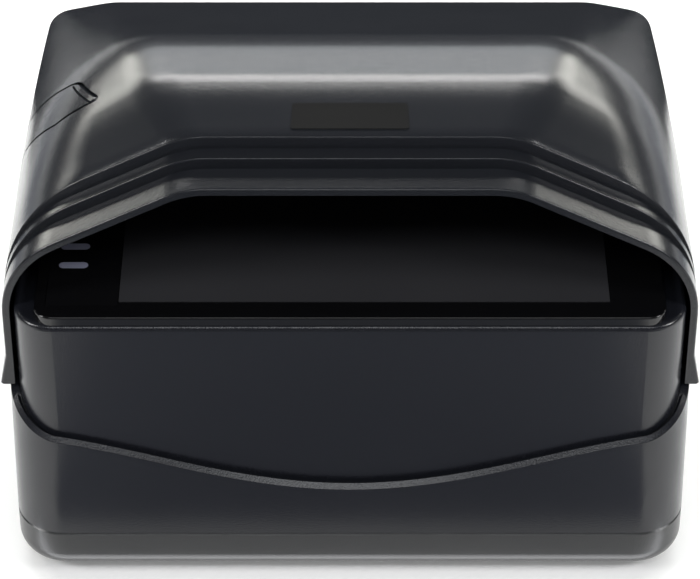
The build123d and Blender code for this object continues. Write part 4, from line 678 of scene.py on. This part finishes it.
    def outer(self):
        """Block inside the hood's outer surface."""
        soft = self.sizes.rim_round / MM
        slope = (self.STEP_ONE[1] - self.RIM_CROWN) / self.STEP_ONE[0]
        rings = []
        for number in range(self.RIM_STEPS + 1):
            a = math.pi / 2 * number / self.RIM_STEPS
            inset = soft * (1 - math.sin(a))
            place = soft * (1 - math.cos(a))
            crown = self.RIM_CROWN + slope * place
            rings.append(self.ring(place, self.chain(crown, self.RIM, inset * MM)))
        for place, crown in self.step_rings(*self.STEP_ONE) + self.step_rings(*self.STEP_TWO):
            rings.append(self.ring(place, self.chain(crown, self.RIM, 0)))
        place = self.STEP_TWO[0] + self.BODY_START
        while place < self.tail + self.PAST_TAIL:
            rings.append(self.ring(place, self.body_chain(place, 0)))
            near_crest = abs(place - (self.CREST_PLACE[0] + self.PLATEAU_END) / 2) < self.CREST_REACH
            place += self.CREST_STEP if near_crest else self.BODY_STEP
        return lofted(rings)

    def inner(self, wall):
        """Block that fills the hood up to a distance under its outer surface."""
        places = [(-self.HOLLOW_AHEAD, self.RIM_CROWN - self.HOLLOW_DROP), self.STEP_ONE[:2]]
        rings = [self.ring(place, self.chain(crown, self.RIM, wall)) for place, crown in places]
        place = self.STEP_TWO[0] + self.HOLLOW_START
        while place < self.tail + self.PAST_TAIL:
            rings.append(self.ring(place, self.body_chain(place, wall)))
            place += self.HOLLOW_STEP
        return lofted(rings)

    def barrel_limit(self, inset):
        """Side view of the back end as a prism: slope, barrel and what is under them."""
        radius = self.sizes.barrel_radius - inset
        turn = math.pi / 2 - self.TAIL_TURN
        end = self.BARREL_END
        arc = []
        for step in range(self.BARREL_STEPS + 1):
            a = turn + (end - turn) * step / self.BARREL_STEPS
            arc.append((AXIS_Y + radius * math.cos(a), AXIS_Z + radius * math.sin(a)))
        top = arc[0]
        reach = self.SLOPE_REACH * MM
        far_top = (top[0] - reach, top[1] + reach * math.tan(self.TAIL_TURN + self.LIMIT_CLEARANCE))
        low_y, low_z = arc[-1]
        if inset:
            out = (AXIS_Y + 2 * radius * math.cos(end), AXIS_Z + 2 * radius * math.sin(end))
            tail = [out, (out[0], 0), (top[0] - reach, 0)]
        else:
            bottom = self.edge - self.PAST_EDGE * MM
            foot = low_y - (low_z - bottom) / math.tan(math.pi / 2 + end)
            tail = [(foot, bottom), (top[0] - reach, bottom)]
        return prism(arc + tail + [far_top], -self.HALF_CUT * MM, self.HALF_CUT * MM)


FAR_LEFT = -100 * MM
LEVER_FRONT = ((32.7, 70.5), (36.3, 59.8), (49.6, 41.6), (53.7, 28.7), (53.7, 10.8))
LEVER_BACK = ((71.7, 10.8), (71.7, 30.7), (69.1, 38.1), (54.4, 56.1), (45.9, 66.6))


def lever_outline(gap, end_gap):
    """Side view of the release lever, in Y and Z, grown by a gap."""
    rim, edge = HOOD_LOW.y, HOOD_LOW.z
    front = [(rim + y * MM - gap, edge + z * MM) for y, z in LEVER_FRONT]
    back = [(rim + y * MM + gap, edge + z * MM) for y, z in LEVER_BACK]
    front_lean = (front[1][0] - front[0][0]) / (front[0][1] - front[1][1])
    back_lean = (back[-2][0] - back[-1][0]) / (back[-1][1] - back[-2][1])
    front[0] = (front[0][0] - front_lean * end_gap, front[0][1] + end_gap)
    back[-1] = (back[-1][0] - back_lean * end_gap, back[-1][1] + end_gap)
    front[-1] = (front[-1][0], front[-1][1] - gap)
    back[0] = (back[0][0], back[0][1] - gap)
    return front + back


def hood_block():
    """Hood's skin before the lever's slot is cut."""
    shape = HoodShape(bpy.context.scene.scanner_hood)
    outer = cut(shape.outer(), [shape.barrel_limit(0)], "INTERSECT")
    inner = cut(shape.inner(shape.sizes.wall), [shape.barrel_limit(shape.sizes.wall)], "INTERSECT")
    return cut(outer, [inner], "DIFFERENCE")


WEB_SPANS = ((56.5 * MM, 59.5 * MM), (68.5 * MM, 71.5 * MM))
WEB_HUB_RADIUS = 4.6 * MM
WEB_REACH = 10 * MM
WEB_BORE = 2.05 * MM
WEB_FOOT_TURN = -140
WEB_LOW_TURN = -50
WEB_STEPS = 12
THROUGH = 1 * MM
LEVER_PIN_LOW, LEVER_PIN_HIGH = (Vector(corner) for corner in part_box("lever_pin"))
LEVER_PIN_PLACE = ((LEVER_PIN_LOW.x + LEVER_PIN_HIGH.x) / 2, (LEVER_PIN_LOW.z + LEVER_PIN_HIGH.z) / 2)
LEVER_HUB_RADIUS = 3 * MM
EAR_WIDTH = 2.5 * MM
EAR_BORE = 1.26 * MM
HUB_SPAN = (-17 * MM, -5.6 * MM)
HUB_BORE = 1.3 * MM
MAGNET_LOW, MAGNET_HIGH = (Vector(corner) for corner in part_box("latch_magnet"))
MAGNET_FIT = 0.05 * MM
LEVER_TRIM = 0.2 * MM
LEVER_END = HOOD_LOW.x + 41 * MM
LEVER_TOP_CORNERS = (0, 9)
LEVER_ROUND = 2 * MM
SLOT_END_GAP = 1 * MM
GROOVE_FROM_END = 0.9 * MM
GROOVE_WIDTH = 0.5 * MM
GROOVE_DEPTH = 0.6 * MM


def about_pin(radius, degrees):
    """Y and Z of a point round the hinge axis."""
    turn = math.radians(degrees)
    return AXIS_Y + radius * math.cos(turn), AXIS_Z + radius * math.sin(turn)


def with_webs(skin):
    """Adds the four plates that carry the hood on its hinge pins."""
    rise = 90 - math.degrees(HoodShape.TAIL_TURN)
    turn = (rise - WEB_LOW_TURN) / WEB_STEPS
    arc = [about_pin(WEB_REACH, WEB_LOW_TURN + turn * step) for step in range(WEB_STEPS + 1)]
    ahead = [about_pin(WEB_REACH * math.sqrt(2), rise + 45), about_pin(WEB_HUB_RADIUS, rise + 90)]
    outline = [about_pin(WEB_HUB_RADIUS, WEB_FOOT_TURN), *arc, *ahead]
    spans = [*WEB_SPANS, *((-high, -low) for low, high in WEB_SPANS)]
    plates = [prism(outline, low, high) for low, high in spans]
    hubs = [rod(WEB_HUB_RADIUS, low, high) for low, high in spans]
    bores = [rod(WEB_BORE, low - THROUGH, high + THROUGH) for low, high in spans]
    return cut(cut(skin, plates + hubs, "UNION"), bores, "DIFFERENCE")


def with_pin_hubs(skin, spans, bore):
    """Adds hubs round the lever's pin, each on a plate that runs out into the skin."""
    shape = HoodShape(bpy.context.scene.scanner_hood)
    x, z = LEVER_PIN_PLACE
    for low, high in spans:
        plate = block((HOOD_LOW.x, low, z - LEVER_HUB_RADIUS), (x, high, z + LEVER_HUB_RADIUS))
        hub = cut(plate, [rod(LEVER_HUB_RADIUS, low, high, "Y", (x, z), PIN_SEGMENTS)], "UNION")
        skin = cut(skin, [cut(hub, [shape.inner(shape.sizes.wall / 2)], "INTERSECT")], "UNION")
    hole = rod(bore, spans[0][0] - THROUGH, spans[-1][1] + THROUGH, "Y", (x, z), PIN_SEGMENTS)
    return cut(skin, [hole], "DIFFERENCE")


def lever_groove(points):
    """Cutter for the shallow groove that runs along the lever's upper end."""
    start, end = Vector(points[0]), Vector(points[-1])
    along = (end - start).normalized()
    down = Vector((along.y, -along.x))
    start, end = start - along * GROOVE_FROM_END, end + along * GROOVE_FROM_END
    near, far = down * GROOVE_FROM_END, down * (GROOVE_FROM_END + GROOVE_WIDTH)
    slab = prism([start + near, end + near, end + far, start + far], FAR_LEFT, LEVER_END)
    return cut(slab, [HoodShape(bpy.context.scene.scanner_hood).inner(GROOVE_DEPTH)], "DIFFERENCE")


class SCANNER_OT_hood(bpy.types.Operator):
    """Model the hood's skin with its terraces, crest and barrel"""
    bl_idname = "scanner.hood"
    bl_label = "Hood"

    def execute(self, context):
        sizes = context.scene.scanner_hood
        gap = sizes.lever_gap
        outline = lever_outline(gap, SLOT_END_GAP)
        slot = prism(outline, FAR_LEFT, LEVER_END, LEVER_TOP_CORNERS, LEVER_ROUND + gap)
        ends = (LEVER_PIN_LOW.y, LEVER_PIN_HIGH.y - EAR_WIDTH)
        ears = [(low, low + EAR_WIDTH) for low in ends]
        shell = with_webs(with_pin_hubs(cut(hood_block(), [slot], "DIFFERENCE"), ears, EAR_BORE))
        skin = evened(show("hood_skin", shell, "hood", "hood_plastic"))
        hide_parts("hood_shell")
        dress("lever_pin", "lever_spring", "label_plate")
        return {"FINISHED"}


class SCANNER_OT_lever(bpy.types.Operator):
    """Model the release lever in the hood's left shoulder"""
    bl_idname = "scanner.lever"
    bl_label = "Release lever"

    def execute(self, context):
        points = lever_outline(-LEVER_TRIM, 0)
        outline = prism(points, FAR_LEFT, LEVER_END, LEVER_TOP_CORNERS, LEVER_ROUND)
        lever = with_pin_hubs(cut(hood_block(), [outline], "INTERSECT"), [HUB_SPAN], HUB_BORE)
        lever = cut(lever, [lever_groove(points)], "DIFFERENCE")
        middle = [(low + high) / 2 for low, high in zip(MAGNET_LOW, MAGNET_HIGH)]
        radius = (MAGNET_HIGH.y - MAGNET_LOW.y) / 2 + MAGNET_FIT
        recess = rod(radius, MAGNET_LOW.x, MAGNET_HIGH.x + THROUGH, "X", middle[1:])
        lever = cut(lever, [recess], "DIFFERENCE")
        skin = evened(show("lever_skin", lever, "release_lever", "hood_plastic"))
        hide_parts("release_lever")
        dress("latch_magnet")
        return {"FINISHED"}


SKIRT_LOW, SKIRT_HIGH = (Vector(corner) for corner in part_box("lower_skirt"))
SKIRT_CORNER = 14 * MM
SKIRT_DRAFT = math.radians(1)
SHELF_WIDTH = 3.0 * MM
BEAD_RISE = 1.2 * MM
BEAD_SINK = 0.3 * MM
BEAD_EDGE = 0.15 * MM
BEAD_CLEARANCE = 1.6 * MM
BEAD_STEP = 3 * MM
CORNER_STEPS = 18
LOOK_FROM = 1.0


def shelf_path():
    """Points round the front of the skirt's foot, each with the direction in which its wall faces."""
    half, front = SKIRT_HIGH.x, SKIRT_LOW.y
    reach = half - SKIRT_CORNER
    count = round(2 * reach / BEAD_STEP)
    straight = [(-reach + 2 * reach * n / count, front, 0.0, -1.0) for n in range(1, count)]
    left, right = [], []
    for n in range(CORNER_STEPS + 1):
        a = math.pi / 2 * n / CORNER_STEPS
        x, y = reach + SKIRT_CORNER * math.sin(a), front + SKIRT_CORNER * (1 - math.cos(a))
        right.append((x, y, math.sin(a), -math.cos(a)))
        left.append((-x, y, -math.sin(a), -math.cos(a)))
    return left[::-1] + straight + right


def shelf_bead(belt):
    """Raised bead that runs along the shelf, between the skirt's edge and the housing."""
    tree = BVHTree.FromBMesh(belt)
    rings = []
    for x, y, away_x, away_y in shelf_path():
        def on_shelf(depth):
            start = Vector((x - away_x * depth, y - away_y * depth, LOOK_FROM))
            hit = tree.ray_cast(start, Vector((0, 0, -1)))[0]
            return hit if hit and hit.z > SKIRT_LOW.z + SHELF_WIDTH else None

        inner = on_shelf(SHELF_WIDTH - BEAD_EDGE)
        if inner is None or inner.z > SKIRT_HIGH.z - BEAD_CLEARANCE:
            continue
        edge = math.tan(SKIRT_DRAFT) * (inner.z - SKIRT_LOW.z) + BEAD_EDGE
        outer, ridge = on_shelf(edge), on_shelf((SHELF_WIDTH + edge) / 2)
        down = Vector((0, 0, -BEAD_SINK))
        rings.append([outer + down, outer, ridge + Vector((0, 0, BEAD_RISE)), inner, inner + down])
    return lofted(rings)


class SCANNER_OT_base(bpy.types.Operator):
    """Finish the tray, skirt, housing, feet and bumpers"""
    bl_idname = "scanner.base"
    bl_label = "Base"

    def execute(self, context):
        dress("base_tray", "upper_housing", "rubber_feet", "hood_bumpers", "case_screws")
        belt = merged_copy("lower_skirt")
        bead = shelf_bead(belt)
        skirt = evened(show("skirt_belt", cut(belt, [bead], "UNION"), "base", "body_plastic"))
        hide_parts("lower_skirt")
        return {"FINISHED"}


class SCANNER_OT_deck(bpy.types.Operator):
    """Finish the deck plate, the glass and the indicator strip"""
    bl_idname = "scanner.deck"
    bl_label = "Deck"

    def execute(self, context):
        dress("deck_plate", "document_glass", "glass_gasket", "indicator_strip", "light_bars")
        return {"FINISHED"}


class SCANNER_OT_hinge(bpy.types.Operator):
    """Finish the hinge brackets, pins, washers, clips, screws and the strike plate"""
    bl_idname = "scanner.hinge"
    bl_label = "Hinge"

    def execute(self, context):
        dress("hinge_brackets", "hinge_screws", "hinge_pins", "hinge_washers", "pin_clips", "strike_plate")
        return {"FINISHED"}


class SCANNER_OT_inside(bpy.types.Operator):
    """Finish the light box, the camera and the boards"""
    bl_idname = "scanner.inside"
    bl_label = "Inside"

    def execute(self, context):
        dress(
            "light_box", "light_box_screws", "white_light_boards", "white_lamps", "light_diffusers",
            "uv_light_boards", "uv_lamps", "camera_board", "camera_screws", "image_sensor", "lens_holder",
            "lens_barrel", "front_lens", "antenna_board", "indicator_board", "indicator_lamps", "main_board",
            "main_board_screws", "processor", "heat_sink", "board_components", "board_connectors",
            "camera_flex",
        )
        return {"FINISHED"}


class SCANNER_OT_back_panel(bpy.types.Operator):
    """Finish the sockets and the power switch"""
    bl_idname = "scanner.back_panel"
    bl_label = "Back panel"

    def execute(self, context):
        dress("usb_socket", "power_jack", "switch_frame", "power_rocker")
        return {"FINISHED"}


LAMP_DISTANCE = 1.6
AIM_HEIGHT = 0.1


def softbox(name, turn, rise, width, height, radiance, tint=(1.0, 1.0, 1.0)):
    """Rectangular soft lamp that faces the object; a turn of 0 is behind it and 180 in front."""
    light = bpy.data.lights.new(name, "AREA")
    light.shape = "RECTANGLE"
    light.size = width
    light.size_y = height
    light.energy = radiance * math.pi * width * height
    light.color = tint
    turn, rise = math.radians(turn), math.radians(rise)
    level = LAMP_DISTANCE * math.cos(rise)
    height_of_lamp = LAMP_DISTANCE * math.sin(rise) + AIM_HEIGHT
    lamp = bpy.data.objects.new(name, light)
    lamp.location = (level * math.sin(turn), level * math.cos(turn), height_of_lamp)
    lamp.rotation_euler = (Vector((0, 0, AIM_HEIGHT)) - lamp.location).to_track_quat("-Z", "Y").to_euler()
    bpy.context.scene.collection.objects.link(lamp)


REFLECTION_SHEET_HEIGHT = 0.002
# Bluish tint of the painted reflections that the sheets give in the plastic.
REFLECTION_SHEET_TINT = (0.92, 0.97, 1.14)


def reflection_sheet(name, left, right, front, back, tone=0.01, glow=0.0):
    """Sheet on the floor, seen only in the gloss of the plastic, where it paints a reflection: dark for a
    low tone and bright where it glows. It casts no light or shade.
    """
    bm = bmesh.new()
    bmesh.ops.create_grid(bm, x_segments=1, y_segments=1, size=0.5)
    bmesh.ops.scale(bm, verts=bm.verts, vec=(right - left, back - front, 1))
    bmesh.ops.translate(bm, verts=bm.verts, vec=((left + right) / 2, (front + back) / 2, REFLECTION_SHEET_HEIGHT))
    mesh = bpy.data.meshes.new(name)
    bm.to_mesh(mesh)
    bm.free()
    reflection_finish = Recipe(name)
    mesh.materials.append(reflection_finish.surface(
        Base_Color=tuple(channel * tone for channel in REFLECTION_SHEET_TINT), Roughness=1.0, Specular_IOR_Level=0.0,
        Emission_Color=(1.0, 1.0, 1.0), Emission_Strength=glow,
    ))
    sheet = bpy.data.objects.new(name, mesh)
    bpy.context.scene.collection.objects.link(sheet)
    sheet.visible_camera = sheet.visible_diffuse = sheet.visible_shadow = False


SIDES = ((-1, "left"), (1, "right"))
FLOOR_GLOW = 0.18
# Glossy rays see the floor glow 2.1 times as strongly as the camera does: painted brighter reflections of
# the floor in the plastic.
FLOOR_GLOW_IN_GLOSS = 2.1
WORLD_STRENGTH = 0.1


class SCANNER_OT_stage(bpy.types.Operator):
    """Set the floor, the lamps, the world and the camera"""
    bl_idname = "scanner.stage"
    bl_label = "Stage"

    def execute(self, context):
        settings = context.scene.scanner_stage
        self.floor(settings.floor_size)
        self.world()
        self.lamps()
        self.reflection_sheets()
        data = bpy.data.cameras.new("camera")
        data.lens = settings.focal_length
        camera = bpy.data.objects.new("camera", data)
        camera.location = settings.camera_place
        camera.rotation_euler = (math.pi / 2 - settings.camera_pitch, 0, 0)
        context.scene.collection.objects.link(camera)
        context.scene.camera = camera
        context.scene.view_settings.view_transform = "Standard"
        return {"FINISHED"}

    def lamps(self):
        softbox("lamp_crest", 0, 50, width=1.7, height=0.3, radiance=15.0, tint=(1.0, 1.0, 0.98))
        softbox("lamp_back", 0, 32, width=1.5, height=0.5, radiance=3.4, tint=(0.93, 0.98, 1.0))
        for side, name in SIDES:
            tint = (1.0, 1.0, 0.93)
            softbox(f"lamp_back_{name}", side * 46, 25, width=0.72, height=0.44, radiance=9.2, tint=tint)
            softbox(f"lamp_side_{name}", side * 112, 32, width=0.5, height=0.4, radiance=17.0)
        softbox("lamp_front", 180, 51, width=1.1, height=0.34, radiance=4.2, tint=(0.96, 0.98, 1.0))

    def reflection_sheets(self):
        # Dark and grey sheets that paint dark reflections into the plastic from behind, beside and in front
        # of the object.
        reflection_sheet("dark_reflection_back", -0.21, 0.21, front=0.15, back=0.6)
        reflection_sheet("dark_reflection_far", -0.4, 0.4, front=0.6, back=2.5)
        for side, name in SIDES:
            reflection_sheet(f"dark_reflection_{name}", side * 0.45 - 0.2, side * 0.45 + 0.2, front=0.0, back=0.6, tone=0.22)
        reflection_sheet("dark_reflection_near", -0.09, 0.09, front=-0.15, back=-0.106, tone=0.32)
        # Glowing sheet just in front of the foot that paints a bright reflection along the tray's lower
        # edge.
        reflection_sheet("bright_reflection_foot", -0.1, 0.1, front=-0.0892, back=-0.0855, tone=0.85, glow=4.0)
        reflection_sheet("dark_reflection_middle", -0.09, 0.09, front=-0.21, back=-0.15, tone=0.3)
        reflection_sheet("dark_reflection_front", -0.3, 0.3, front=-1.4, back=-0.21, tone=0.06)

    def floor(self, side):
        bm = bmesh.new()
        bmesh.ops.create_grid(bm, x_segments=2, y_segments=2, size=side / 2)
        mesh = bpy.data.meshes.new("floor")
        bm.to_mesh(mesh)
        bm.free()
        floor = bpy.data.objects.new("floor", mesh)
        bpy.context.scene.collection.objects.link(floor)
        recipe = Recipe("floor")
        camera, glossy, transmitted = (
            recipe.node("ShaderNodeLightPath", {}, {}, f"Is {kind} Ray")
            for kind in ("Camera", "Glossy", "Transmission")
        )
        # Painted reflection: the floor's glow is stronger in the gloss of the plastic than to the camera.
        seen = camera.maths("MAXIMUM", glossy * FLOOR_GLOW_IN_GLOSS).maths("MAXIMUM", transmitted)
        recipe.surface(
            Base_Color=(0.85, 0.85, 0.85), Roughness=0.9, Emission_Color=(1.0, 1.0, 1.0),
            Emission_Strength=seen * FLOOR_GLOW,
        )
        mesh.materials.append(recipe.material)

    def world(self):
        world = bpy.data.worlds.new("studio")
        world.use_nodes = True
        background = world.node_tree.nodes["Background"]
        background.inputs["Color"].default_value = (1, 1, 1, 1)
        background.inputs["Strength"].default_value = WORLD_STRENGTH
        bpy.context.scene.world = world


OPERATORS = (
    SCANNER_OT_stage, SCANNER_OT_base, SCANNER_OT_deck, SCANNER_OT_hood, SCANNER_OT_lever,
    SCANNER_OT_hinge, SCANNER_OT_inside, SCANNER_OT_back_panel,
)


class SCANNER_PT_panel(bpy.types.Panel):
    """Lists the scanner's pieces and its stage"""
    bl_label = "Document scanner"
    bl_idname = "SCANNER_PT_panel"
    bl_space_type = "VIEW_3D"
    bl_region_type = "UI"
    bl_category = "Scanner"

    def draw(self, context):
        for operator in OPERATORS:
            self.layout.operator(operator.bl_idname)
        scene = context.scene
        for group in (scene.scanner_hood, scene.scanner_colours, scene.scanner_stage):
            for key in group.__annotations__:
                self.layout.prop(group, key)


CLASSES = (HoodSizes, ShellColours, StageSettings, *OPERATORS, SCANNER_PT_panel)


def register():
    for item in CLASSES:
        bpy.utils.register_class(item)
    bpy.types.Scene.scanner_hood = PointerProperty(type=HoodSizes)
    bpy.types.Scene.scanner_colours = PointerProperty(type=ShellColours)
    bpy.types.Scene.scanner_stage = PointerProperty(type=StageSettings)


def unregister():
    del bpy.types.Scene.scanner_hood
    del bpy.types.Scene.scanner_colours
    del bpy.types.Scene.scanner_stage
    for item in reversed(CLASSES):
        bpy.utils.unregister_class(item)


def main():
    register()
    for operator in OPERATORS:
        group, name = operator.bl_idname.split(".")
        getattr(getattr(bpy.ops, group), name)()


if __name__ == "__main__":
    main()
